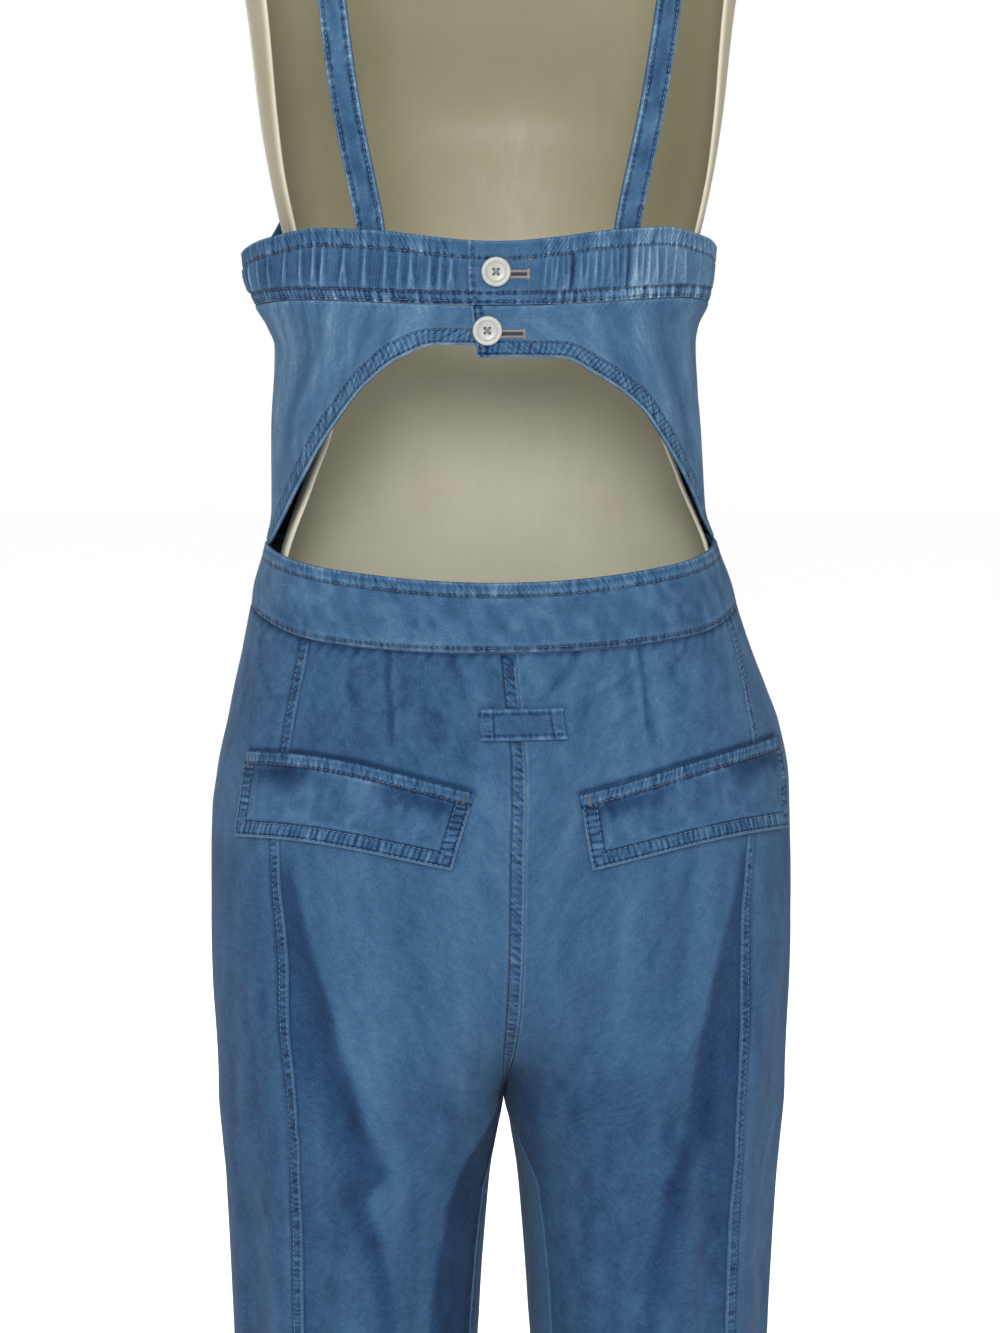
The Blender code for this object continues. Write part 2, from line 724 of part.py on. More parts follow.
def turned(name, profile, sides, finish):
    """A closed piece turned about its own Z from (radius, height) pairs."""
    made = bmesh.new()
    points = [made.verts.new((radius, 0.0, height)) for radius, height in profile]
    for first, second in zip(points, points[1:]):
        made.edges.new((first, second))
    piece = object_from(name, made, finish, PIECES)
    turn = piece.modifiers.new("turn", "SCREW")
    turn.steps = sides
    turn.render_steps = sides
    turn.use_merge_vertices = True
    turn.merge_threshold = 0.00001
    turn.use_normal_calculate = True
    return piece


def rod(name, radius, length, sides, finish, collection):
    made = bmesh.new()
    bmesh.ops.create_cone(
        made, cap_ends=True, segments=sides, radius1=radius, radius2=radius, depth=length
    )
    return object_from(name, made, finish, collection)


def button(seat, finish):
    """A four-hole button with a raised rim on the placket's upper layer."""
    angle = math.radians(seat.degrees)
    out = outward_normal(garment_point, angle, seat.height)
    lift = DOUBLE_WALL + LAP_CLEARANCE + LAID_CLEARANCE
    profile = [(BUTTON_RADIUS * p.out, BUTTON_THICKNESS * p.height) for p in BUTTON_PROFILE]
    piece = turned(seat.name, profile, BUTTON_SIDES, finish)
    piece.rotation_euler = out.to_track_quat("Z", "Y").to_euler()
    piece.location = garment_point(angle, seat.height) + out * lift
    turn = piece.rotation_euler.to_matrix()
    for quarter in range(4):
        around = math.radians(45 + 90 * quarter)
        spread = Vector((math.cos(around), math.sin(around), 0.0)) * BUTTON_HOLE_SPREAD
        label = f"{seat.name}_hole_{quarter}"
        hole = rod(label, BUTTON_HOLE_RADIUS, 4 * BUTTON_THICKNESS, 8, None, CUTTERS)
        hole.rotation_euler = piece.rotation_euler
        hole.location = piece.location + turn @ spread
        hole.hide_render = True
        hole.display_type = "WIRE"
        cut = piece.modifiers.new(f"hole_{quarter}", "BOOLEAN")
        cut.operation = "DIFFERENCE"
        cut.object = hole


def form_shell(finish):
    """The hollow-back torso: one wall round the front, from rim to rim, closed over the neck."""
    heights = sorted([row.height for row in TORSO] + list(TORSO_EXTRA_HEIGHTS))
    rows = len(heights) - 1

    def place(across, up):
        height = heights[round(up * rows)]
        rim = math.radians(row_at(TORSO, height).rim_degrees)
        return torso_point(between(rim, 2 * math.pi - rim, across), height)

    free_wall("form_shell", FORM_COLUMNS, rows, place, finish, FORM_WALL, 1)


def form_board(finish):
    """The flat board that closes the lower trunk and carries the pole."""
    inset = FORM_WALL + 2 * SEAM_GAP
    rim = math.radians(row_at(TORSO, BOARD_HEIGHT).rim_degrees)
    curve = bpy.data.curves.new("form_board", "CURVE")
    curve.dimensions = "2D"
    curve.fill_mode = "BOTH"
    curve.extrude = BOARD_THICKNESS / 2
    curve.materials.append(finish)
    line = curve.splines.new("POLY")
    line.points.add(FORM_COLUMNS)
    for step, corner in enumerate(line.points):
        angle = between(rim, 2 * math.pi - rim, step / FORM_COLUMNS)
        normal = outward_normal(torso_point, angle, BOARD_HEIGHT)
        point = torso_point(angle, BOARD_HEIGHT) - normal * inset
        corner.co = (point.x, point.y, 0.0, 1.0)
    line.use_cyclic_u = True
    piece = bpy.data.objects.new("form_board", curve)
    piece.location.z = BOARD_HEIGHT
    PIECES.objects.link(piece)


def collar(name, height, turn, finish):
    """A turned collar round the pole, standing on its wide foot or hanging from it."""
    profile = [(POLE_RADIUS + point.out, point.height) for point in COLLAR]
    piece = turned(name, profile, 24, finish)
    piece.location = (POLE_X, POLE_Y, height)
    piece.rotation_euler.x = turn


def stand(finish):
    """The base plate, the pole that runs up inside the wearer's right leg, and its collars."""
    made = bmesh.new()
    bmesh.ops.create_cube(made, size=1.0)
    bmesh.ops.scale(made, vec=(BASE_SIDE, BASE_SIDE, BASE_THICKNESS), verts=made.verts[:])
    middle = [e for e in made.edges if e.verts[0].co.z * e.verts[1].co.z < 0]
    bmesh.ops.bevel(made, geom=middle, offset=BASE_CORNER, segments=5, profile=0.5, affect="EDGES")
    top = [e for e in made.edges if min(v.co.z for v in e.verts) > 0]
    bmesh.ops.bevel(made, geom=top, offset=BASE_EDGE, segments=1, profile=0.5, affect="EDGES")
    base = object_from("stand_base", made, finish, PIECES)
    base.location.z = BASE_THICKNESS / 2
    foot = BASE_THICKNESS + SEAM_GAP
    head = BOARD_HEIGHT - BOARD_THICKNESS / 2 - SEAM_GAP
    pole = rod("stand_pole", POLE_RADIUS, head - foot, 24, finish, PIECES)
    pole.location = (POLE_X, POLE_Y, between(foot, head, 0.5))
    collar("stand_collar", foot, 0.0, finish)
    collar("form_socket", head, math.pi, finish)


def new_collection(name):
    made = bpy.data.collections.new(name)
    bpy.context.scene.collection.children.link(made)
    return made


def build():
    denim = material("denim", DENIM, 0.85)
    denim_dark = material("denim_dark", DENIM_DARK, 0.85)
    left_ends = (PLACKET_UNDER, SIDE_SEAM - HALF_SEAM_ANGLE)
    right_ends = (-SIDE_SEAM + HALF_SEAM_ANGLE, PLACKET_OVER)
    band("band_left", *left_ends, False, denim_dark)
    band("band_right", *right_ends, True, denim_dark)
    back_bodice("bodice_back_left", 1, ARCH_LEFT, *left_ends, False, denim)
    back_bodice("bodice_back_right", -1, ARCH_RIGHT, *right_ends, True, denim)
    front_bodice(denim)
    start, end = SIDE_SEAM + HALF_SEAM_ANGLE, SIDE_SEAM - HALF_SEAM_ANGLE
    waistband("waistband_back", -end, end, denim_dark)
    waistband("waistband_front", start, 2 * math.pi - start, denim_dark)
    legs(denim)
    for flap in FLAPS:
        pocket_flap(flap, denim_dark)
    back_tab(denim_dark)
    strap("strap_left", 1, denim_dark)
    strap("strap_right", -1, denim_dark)
    white = material("button_white", BUTTON_WHITE, 0.4)
    for seat in BUTTONS:
        button(seat, white)
    form_shell(material("shell_plastic", SHELL, 0.45))
    form_board(material("board_wood", BOARD_WOOD, 0.6))
    stand(material("steel", STEEL, 0.35, 0.9))


for old in list(bpy.data.objects):
    bpy.data.objects.remove(old)
PIECES = new_collection("denim_jumpsuit")
CUTTERS = new_collection("cutters")
build()
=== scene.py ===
"""Looks of the denim jumpsuit: cloth, stitching, buttons, torso form and stand.

Metres, +Z up. The wearer faces -Y, so the open back looks along +Y and the wearer's left is +X.
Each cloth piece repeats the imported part's surface on a fine grid and adds relief to its outer face.
"""

import math
from types import SimpleNamespace

import bmesh
import bpy
import numpy as np
from mathutils import Matrix, Vector


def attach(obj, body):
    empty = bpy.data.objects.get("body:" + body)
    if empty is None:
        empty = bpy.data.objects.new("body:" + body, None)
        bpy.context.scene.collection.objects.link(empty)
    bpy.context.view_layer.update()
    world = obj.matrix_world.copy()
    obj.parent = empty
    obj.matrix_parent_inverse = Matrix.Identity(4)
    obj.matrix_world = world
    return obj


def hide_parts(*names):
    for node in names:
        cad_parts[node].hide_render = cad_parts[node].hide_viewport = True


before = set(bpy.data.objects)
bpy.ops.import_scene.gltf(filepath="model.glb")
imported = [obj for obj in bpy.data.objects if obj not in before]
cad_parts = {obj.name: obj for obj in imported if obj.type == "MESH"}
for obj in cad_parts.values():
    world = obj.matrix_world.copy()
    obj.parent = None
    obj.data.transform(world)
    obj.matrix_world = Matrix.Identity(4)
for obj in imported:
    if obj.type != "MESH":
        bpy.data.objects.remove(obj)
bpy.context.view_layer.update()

MM = 0.001
PI = math.pi

# Cloth, seams and the garment's main heights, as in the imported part
WALL = 0.002
DOUBLE_WALL = 0.003
SEAM_GAP = 0.0003
LAP_CLEARANCE = 0.0005
LAID_CLEARANCE = 0.0005
HALF_SEAM_ANGLE = SEAM_GAP / 0.10 / 2
HALF_SEAM_SHARE = SEAM_GAP / 0.40 / 2
HEM = 0.062
CROTCH = 0.745
CROTCH_CURVE_TOP = 0.945
CROTCH_CURVE_POWER = 3.6
THIGH_POWER = 1.9
SEAT_FULLNESS = 0.36
SIDE_TOP = 1.2765
LEG_TOP = 1.057
WAIST_FOLLOW = 0.080

# Angles from centre back towards the wearer's left
SIDE_SEAM = math.radians(97)
PLACKET_OVER = math.radians(6)
PLACKET_UNDER = math.radians(-12)
PLACKET_RISE = math.radians(8)
PLACKET_MARGIN = math.radians(1.5)

# Shares round a leg, from 0 at its front inner edge past the outside to 1 at its back inner edge
LEG_SIDE_SEAM = 0.47

# Small pieces
STRAP_WIDTH = 0.017
STRAP_WALL = 0.0024
STRAP_LIFT = 0.0008
STRAP_CASING_CLEARANCE = 0.0014
STRAP_BACK_CENTRE_X = 0.0105
BUTTON_RADIUS = 0.0086
BUTTON_THICKNESS = 0.0030
TAB_HEIGHT = 1.0035
TAB_HALF_ANGLE = math.radians(7.6)
TAB_HALF_HEIGHT = 0.0095
TAB_BRIDGE = 0.0010
FLAP_BOTTOM_BOW = 0.0080
FLAP_STAND_OFF = 0.0030

# Torso form and its stand
FORM_WALL = 0.003
BOARD_HEIGHT = 0.900
BOARD_THICKNESS = 0.012
POLE_X = -0.098
POLE_Y = -0.028
POLE_RADIUS = 0.0105
BASE_SIDE = 0.380
BASE_THICKNESS = 0.006
BASE_CORNER = 0.020
BASE_EDGE = 0.0015
FORM_CENTRE_X = 0.0060

# The drawn pieces alone: the centre seam is nearly closed, and leg grids are fine above this height
CENTRE_GAP = 0.0001
SHOWN_FROM = 0.690
# A piece's inner face has one cell to so many of its outer face's, and a darker tone
INNER_STEP = 3
INSIDE_TONE = -0.2
# Each piece takes another place in the cloth's noise, across and up
UV_SHIFT = (0.37, 0.61)
STITCH_LENGTH = 2.5 * MM
STITCH_PITCH = 3.3 * MM
STITCH_LIFT = 0.06 * MM
THREAD_RADIUS = 0.26 * MM
SIDE_WORDS = {1: "left", -1: "right"}


class Table:
    """Rows of named columns, read at any key on a smooth curve that never overshoots the rows."""

    def __init__(self, names, rows):
        self.names = names.split()[1:]
        cells = np.array(rows, float)
        self.keys, self.cells = cells[:, 0], cells[:, 1:]
        step = np.diff(self.cells, axis=0) / np.diff(self.keys)[:, None]
        self.slopes = np.zeros_like(self.cells)
        before, after = step[:-1], step[1:]
        agree = before * after > 0
        both = np.where(agree, before + after, 1.0)
        self.slopes[1:-1] = np.where(agree, 2 * before * after / both, 0.0)

    def at(self, key):
        key = np.clip(np.asarray(key, float), self.keys[0], self.keys[-1])
        i = np.clip(np.searchsorted(self.keys, key, side="right") - 1, 0, len(self.keys) - 2)
        span = self.keys[i + 1] - self.keys[i]
        t = ((key - self.keys[i]) / span)[..., None]
        leave, arrive = self.slopes[i] * span[..., None], self.slopes[i + 1] * span[..., None]
        values = hermite(self.cells[i], self.cells[i + 1], leave, arrive, t)
        return SimpleNamespace(**{name: values[..., n] for n, name in enumerate(self.names)})


def hermite(start, end, leave, arrive, t):
    """A cubic curve between two values with given slopes at both ends."""
    return (
        start * (2 * t**3 - 3 * t**2 + 1)
        + leave * (t**3 - 2 * t**2 + t)
        + end * (3 * t**2 - 2 * t**3)
        + arrive * (t**3 - t**2)
    )


# The garment's outer face, from the crotch to the neckline
GARMENT = Table("height half_width centre_x back_depth front_depth squareness", [
    (0.745, 0.1824, 0.0000, 0.108, 0.104, 2.20),
    (0.823, 0.1862, 0.0000, 0.116, 0.110, 2.20),
    (0.876, 0.1849, 0.0000, 0.121, 0.114, 2.20),
    (0.929, 0.1830, 0.0000, 0.122, 0.116, 2.15),
    (0.955, 0.1803, -0.0010, 0.120, 0.116, 2.15),
    (0.981, 0.1748, -0.0010, 0.117, 0.115, 2.15),
    (1.006, 0.1675, 0.0010, 0.113, 0.114, 2.15),
    (1.032, 0.1595, 0.0030, 0.109, 0.112, 2.15),
    (1.057, 0.1528, 0.0047, 0.106, 0.110, 2.15),
    (1.070, 0.1500, 0.0055, 0.105, 0.109, 2.15),
    (1.096, 0.1412, 0.0066, 0.103, 0.107, 2.15),
    (1.120, 0.1350, 0.0084, 0.102, 0.107, 2.15),
    (1.170, 0.1331, 0.0096, 0.101, 0.109, 2.15),
    (1.220, 0.1300, 0.0100, 0.100, 0.114, 2.15),
    (1.232, 0.1330, 0.0115, 0.100, 0.116, 2.15),
    (1.245, 0.1396, 0.0122, 0.100, 0.118, 2.15),
    (1.269, 0.1450, 0.0138, 0.101, 0.122, 2.15),
    (1.290, 0.1462, 0.0138, 0.100, 0.126, 2.15),
    (1.355, 0.1500, 0.0090, 0.100, 0.133, 2.20),
    (1.430, 0.1530, 0.0060, 0.095, 0.117, 2.30),
])

# One trouser leg's outer face; centre_x is counted from the garment's middle, twist is in degrees
LEGS = Table("height centre_x half_width centre_y half_depth twist", [
    (0.062, 0.1020, 0.0660, 0.000, 0.0640, 30),
    (0.230, 0.1000, 0.0680, 0.000, 0.0690, 30),
    (0.420, 0.0975, 0.0730, 0.001, 0.0780, 30),
    (0.600, 0.0955, 0.0800, 0.002, 0.0920, 30),
    (0.689, 0.0940, 0.0845, 0.003, 0.1000, 26),
    (0.716, 0.0930, 0.0875, 0.003, 0.1030, 14),
    (0.745, 0.0912, 0.0911, 0.003, 0.1060, 0),
])

# The torso form's outer face, from its lower edge to the top of the neck
TORSO = Table("height half_width centre_x front_depth rim_y rim_degrees squareness", [
    (0.8840, 0.1690, 0.0000, 0.0980, 0.0120, 86, 2.2),
    (0.9500, 0.1660, 0.0000, 0.1000, 0.0120, 86, 2.2),
    (1.0300, 0.1490, 0.0025, 0.0980, 0.0140, 84, 2.2),
    (1.0960, 0.1330, 0.0040, 0.0950, 0.0160, 81, 2.2),
    (1.1400, 0.1170, 0.0055, 0.0930, 0.0200, 76, 2.2),
    (1.1800, 0.1060, 0.0060, 0.0920, 0.0240, 72, 2.2),
    (1.2150, 0.1060, 0.0060, 0.0950, 0.0260, 72, 2.2),
    (1.2600, 0.1210, 0.0060, 0.1030, 0.0280, 72, 2.2),
    (1.3170, 0.1345, 0.0060, 0.1160, 0.0300, 72, 2.2),
    (1.3560, 0.1410, 0.0060, 0.1240, 0.0300, 70, 2.2),
    (1.4200, 0.1480, 0.0060, 0.1110, 0.0280, 68, 2.2),
    (1.4800, 0.1580, 0.0060, 0.0920, 0.0260, 66, 2.2),
    (1.5220, 0.1650, 0.0060, 0.0760, 0.0240, 66, 2.2),
    (1.5430, 0.1530, 0.0060, 0.0660, 0.0220, 66, 2.1),
    (1.5570, 0.1240, 0.0060, 0.0600, 0.0220, 66, 2.1),
    (1.5690, 0.0900, 0.0060, 0.0560, 0.0220, 66, 2.0),
    (1.5820, 0.0650, 0.0060, 0.0530, 0.0220, 66, 2.0),
    (1.6050, 0.0530, 0.0060, 0.0510, 0.0220, 66, 2.0),
    (1.6400, 0.0510, 0.0060, 0.0500, 0.0220, 66, 2.0),
    (1.6415, 0.0465, 0.0060, 0.0455, 0.0200, 66, 2.0),
    (1.6425, 0.0250, 0.0060, 0.0245, 0.0110, 66, 2.0),
    (1.6430, 0.0060, 0.0060, 0.0060, 0.0026, 66, 2.0),
])

# Edges of the garment, by the angle from centre back on either side
WAIST_TOP = Table("degrees height", [(0, 1.0870), (45, 1.0925), (90, 1.0985), (180, 1.0985)])
WAIST_BOTTOM = Table("degrees height", [(0, 1.0455), (45, 1.0490), (90, 1.0600), (180, 1.0600)])
BAND_BOTTOM = Table("degrees height", [(0, 1.2500), (45, 1.2520), (97, 1.2450)])
BAND_TOP = Table("degrees height", [
    (0, 1.2870), (28, 1.2930), (42, 1.2940), (62, 1.2880), (97, SIDE_TOP),
])
FRONT_TOP = Table("degrees height", [
    (97, SIDE_TOP), (116, 1.2790), (129, 1.3000), (137, 1.3500),
    (143, 1.4150), (149, 1.4270), (165, 1.4120), (180, 1.4060),
])

# The arch of the open back, by the angle towards each back piece's own side
ARCH_LEFT = Table("degrees height", [
    (-12, 1.2260), (15, 1.2269), (26, 1.2191), (36.5, 1.2028),
    (48, 1.1753), (61, 1.1436), (75, 1.1160), (87, 1.0995),
])
ARCH_RIGHT = Table("degrees height", [
    (-6, 1.2200), (13, 1.2190), (24, 1.2080), (37.8, 1.1885),
    (47.5, 1.1664), (61.5, 1.1365), (73, 1.1150), (84, 1.0995),
])

# The seam between a leg's back and its side panel
PRINCESS = Table("height left_share right_share", [
    (0.062, 0.6920, 0.6920),
    (0.600, 0.6960, 0.6960),
    (0.660, 0.6950, 0.6950),
    (0.690, 0.6930, 0.6930),
    (0.705, 0.6875, 0.6875),
    (0.720, 0.6800, 0.6795),
    (0.732, 0.6740, 0.6740),
    (0.745, 0.6700, 0.6705),
    (0.758, 0.6745, 0.6765),
    (0.783, 0.6850, 0.6875),
    (0.807, 0.6940, 0.6990),
    (0.831, 0.7055, 0.7115),
    (0.856, 0.7165, 0.7220),
    (0.882, 0.7205, 0.7305),
    (0.900, 0.7190, 0.7290),
    (0.980, 0.7160, 0.6920),
    (1.060, 0.7250, 0.6500),
])

# Soft troughs on the legs: top, bottom, top_share, bottom_share, half_width, depth
LEG_FOLDS = [
    (0.900, 0.480, 0.736, 0.716, 0.052, 0.0085),
    (0.860, 0.420, 0.600, 0.585, 0.050, 0.0040),
    (0.700, 0.300, 0.890, 0.930, 0.050, 0.0045),
    (0.900, 0.480, 0.300, 0.240, 0.055, 0.0065),
    (0.720, 0.250, 0.120, 0.080, 0.050, 0.0045),
    (0.460, 0.150, 0.500, 0.450, 0.060, 0.0040),
]

# The pocket flaps by side: each corner's degrees and height, and how far the top edge bows up
FLAPS = {
    1: SimpleNamespace(
        node="flap_left", inner_top=(8.6, 0.9637), outer_top=(66.0, 0.9780),
        inner_bottom=(12.2, 0.9185), outer_bottom=(64.5, 0.9270), top_bow=0.0100,
    ),
    -1: SimpleNamespace(
        node="flap_right", inner_top=(8.7, 0.9609), outer_top=(70.4, 0.9788),
        inner_bottom=(11.0, 0.9162), outer_bottom=(66.5, 0.9223), top_bow=0.0070,
    ),
}

# A strap's middle line: inside the casing, free up to the shoulder, then lying on the form
STRAP_CASING = [(0.0765, 1.268), (0.0785, 1.298)]
STRAP_BACK = [
    (0.0910, 0.0740, 1.370), (0.1020, 0.0620, 1.450), (0.1090, 0.0480, 1.520), (0.1120, 0.0340, 1.554),
]
STRAP_FRONT = [
    (76.0, 1.5602), (94.0, 1.5595), (112.0, 1.5570), (127.0, 1.5500), (137.5, 1.5350),
    (142.0, 1.5100), (144.6, 1.4700), (146.0, 1.4300), (145.7, 1.4030),
]

BUTTONS = {"button_upper": (0.5, 1.2695), "button_lower": (3.0, 1.2355)}
# A button's turned profile, as shares of its radius and thickness
BUTTON_PROFILE = [
    (0.00, 0.40), (0.30, 0.41), (0.55, 0.45), (0.63, 0.54), (0.70, 0.80), (0.77, 0.96),
    (0.85, 1.00), (0.93, 0.92), (0.985, 0.72), (1.00, 0.50), (0.97, 0.20), (0.92, 0.00), (0.00, 0.00),
]



# Numbers and surfaces

def between(low, high, share):
    return low + (high - low) * share


def smoothstep(value, low, high):
    share = np.clip((value - low) / (high - low), 0.0, 1.0)
    return share * share * (3 - 2 * share)


def signed_power(value, power):
    return np.sign(value) * np.abs(value) ** power


def unit(vectors):
    return vectors / np.maximum(np.linalg.norm(vectors, axis=-1, keepdims=True), 1e-12)


def stacked(x, y, z):
    return np.stack(np.broadcast_arrays(x, y, z), axis=-1)


def outward_normal(surface, u, v, step=0.002):
    """The normal that points away, where v climbs and u runs anticlockwise seen from below."""
    along = surface(u + step, v) - surface(u - step, v)
    up = surface(u, v + step) - surface(u, v - step)
    return unit(np.cross(up, along))


def garment_point(angle, height):
    """The garment's outer face, at an angle from centre back towards the wearer's left."""
    ring = GARMENT.at(height)
    depth = np.where(np.cos(angle) > 0, ring.back_depth, ring.front_depth)
    power = 2 / ring.squareness
    x = ring.centre_x + ring.half_width * signed_power(np.sin(angle), power)
    return stacked(x, depth * signed_power(np.cos(angle), power), height)


def garment_face(angle, height, lift=0.0):
    """Points and normals of the garment's outer face, moved out by lift."""
    normal = outward_normal(garment_point, angle, height)
    return garment_point(angle, height) + normal * np.asarray(lift)[..., None], normal


def torso_point(angle, height):
    """The torso form's outer face, at an angle from centre back towards the wearer's left."""
    ring = TORSO.at(height)
    power = 2 / ring.squareness
    x = ring.centre_x + ring.half_width * signed_power(np.sin(angle), power)
    back = ring.rim_y * np.cos(angle) / np.cos(np.radians(ring.rim_degrees))
    front = ring.front_depth * signed_power(np.cos(angle), power)
    return stacked(x, np.where(np.cos(angle) > 0, back, front), height)


def fold_depth(share, height):
    """How far the leg's folds push its face in."""
    total = np.zeros(np.broadcast(share, height).shape)
    for top, bottom, top_share, bottom_share, half_width, depth in LEG_FOLDS:
        down = np.clip((top - height) / (top - bottom), 0, 1)
        across = np.clip((share - between(top_share, bottom_share, down)) / half_width, -1, 1)
        total += depth * np.sin(PI * down) * np.cos(PI * across / 2) ** 2
    return total


def smooth_leg_point(side, share, height):
    """A leg's outer face without folds: half the hips above, a closed tube below the crotch."""
    drop = (CROTCH_CURVE_TOP - height) / (CROTCH_CURVE_TOP - CROTCH)
    inside_leg = np.cos(PI * share) ** 4
    tube = np.clip(drop, 0, 1) ** between(THIGH_POWER, CROTCH_CURVE_POWER, inside_leg)
    ring = GARMENT.at(height)
    hips = garment_point(PI * (1 - share), height)
    leg = LEGS.at(height)
    turn = 2 * PI * share - np.radians(leg.twist) * np.cos(PI * share) ** 2
    tube_out = leg.centre_x - leg.half_width * np.cos(turn)
    tube_y = leg.centre_y - leg.half_depth * np.sin(turn)
    out = between(hips[..., 0] - ring.centre_x, tube_out, tube) + CENTRE_GAP / 2
    centre = between(ring.centre_x, 0.0, tube)
    y = between(hips[..., 1], tube_y, tube) * (1 + SEAT_FULLNESS * tube * (1 - tube))
    return stacked(centre + side * out, y, height)


def leg_face(side, share, height, lift=0.0):
    """Points and normals of a leg's outer face, folds and all, moved out by lift."""
    def turned_surface(u, v):
        return smooth_leg_point(side, -side * u, v)

    normal = outward_normal(turned_surface, -side * share, height)
    out = lift - fold_depth(share, height)
    return smooth_leg_point(side, share, height) + normal * out[..., None], normal


def edge_height(edge, angle):
    """The height of an edge at an angle on either side of centre back."""
    return edge.at(np.degrees(np.abs(angle))).height


def lap_lift(side, angle):
    """How far the wearer's right pieces stand out where they cover the left ones."""
    covered = PLACKET_UNDER - PLACKET_MARGIN
    lift = (DOUBLE_WALL + LAP_CLEARANCE) * smoothstep(angle, covered - PLACKET_RISE, covered)
    return lift if side < 0 else 0.0 * angle


def value_noise(x, y, seed):
    """Smooth noise from -1 to 1 with one cell to each whole number, the same on every run."""
    size = 64
    lattice = np.random.default_rng(seed).random((size, size)) * 2 - 1
    x, y = np.broadcast_arrays(np.asarray(x, float), np.asarray(y, float))
    i, j = np.floor(x).astype(int), np.floor(y).astype(int)
    fx, fy = smoothstep(x - i, 0, 1), smoothstep(y - j, 0, 1)
    low = between(lattice[i % size, j % size], lattice[(i + 1) % size, j % size], fx)
    high = between(lattice[i % size, (j + 1) % size], lattice[(i + 1) % size, (j + 1) % size], fx)
    return between(low, high, fy)


def bell(distance, half_width):
    return np.exp(-((distance / half_width) ** 2))


def line(distance, at, half_width):
    """A soft line at a distance from an edge, at and half_width in millimetres."""
    return bell(distance - at * MM, half_width * MM)


def rising(distance, low, high):
    """From 0 to 1 between two distances in millimetres."""
    return smoothstep(distance, low * MM, high * MM)


def crest(distance, half_width):
    """A sharp ridge with wide skirts."""
    return 1 / (1 + (distance / half_width) ** 2)


def ripples(along, period, seed, across=0.0, slant=0.0):
    """Uneven small waves from -1 to 1, leaning by slant."""
    phase = along / period + slant * across / period
    drift = 0.45 * value_noise(phase * 0.37, across / period * 0.2, seed)
    size = 0.72 + 0.28 * value_noise(phase * 0.6, across / period * 0.3, seed + 1)
    return np.cos(2 * PI * (phase + drift)) * size


def notches(along, period, seed, width):
    """Short pinches at uneven steps, from 0 to 1; period and width are in millimetres."""
    period = period * MM
    phase = along / period + 0.38 * value_noise(along / period * 0.45, 0.5, seed)
    whole = np.round(phase)
    strength = 0.55 + 0.45 * value_noise(whole * 7.31, 0.5, seed + 1)
    return bell((phase - whole) * period, width * MM) * strength


def dense_ends(across, dense, part):
    """Shares that crowd at both ends, where a part of the columns covers the dense share."""
    return np.interp(across, [0, part, 1 - part, 1], [0, dense, 1 - dense, 1])


def blurred(values, cells):
    """Values averaged over a square of cells on each side."""
    for axis in (0, 1):
        pad = [(0, 0), (0, 0)]
        pad[axis] = (cells + 1, cells)
        total = np.cumsum(np.pad(values, pad, mode="edge"), axis)
        count = values.shape[axis]
        high = np.take(total, range(2 * cells + 1, 2 * cells + 1 + count), axis)
        low = np.take(total, range(count), axis)
        values = (high - low) / (2 * cells + 1)
    return values


def run_lengths(points, axis):
    """Distances along a grid of points, from its first row or column."""
    steps = np.linalg.norm(np.diff(points, axis=axis), axis=-1)
    first = np.zeros_like(np.take(steps, [0], axis))
    return np.concatenate([first, np.cumsum(steps, axis)], axis)


# Meshes


def quad_mesh(name, points, quads, uv=None, attributes=None, triangles=None):
    """A smooth mesh from arrays of points, four-cornered faces and any three-cornered ones."""
    mesh = bpy.data.meshes.new(name)
    corners = quads.ravel()
    starts = np.arange(0, len(corners), 4)
    if triangles is not None:
        starts = np.concatenate([starts, len(corners) + np.arange(0, triangles.size, 3)])
        corners = np.concatenate([corners, triangles.ravel()])
    mesh.vertices.add(len(points))
    mesh.vertices.foreach_set("co", points.astype(np.float32).ravel())
    mesh.loops.add(len(corners))
    mesh.loops.foreach_set("vertex_index", corners.astype(np.int32))
    mesh.polygons.add(len(starts))
    mesh.polygons.foreach_set("loop_start", starts.astype(np.int32))
    if uv is not None:
        layer = mesh.uv_layers.new(name="cloth")
        layer.data.foreach_set("uv", uv[corners].astype(np.float32).ravel())
    for key, values in (attributes or {}).items():
        made = mesh.attributes.new(key, "FLOAT", "POINT")
        made.data.foreach_set("value", values.astype(np.float32))
    mesh.update(calc_edges=True)
    mesh.polygons.foreach_set("use_smooth", np.ones(len(starts), bool))
    mesh.validate()
    return mesh


def grid_quads(rows, columns, first=0):
    """Four-cornered faces over a grid of points, counted row by row."""
    width = columns + 1
    corner = first + (np.arange(rows)[:, None] * width + np.arange(columns)).ravel()
    return np.stack([corner, corner + 1, corner + 1 + width, corner + width], 1)


def picks(count, step):
    """Whole numbers from 0 to count, about a step apart."""
    return np.unique(np.round(np.linspace(0, count, max(2, round(count / step)) + 1)).astype(int))


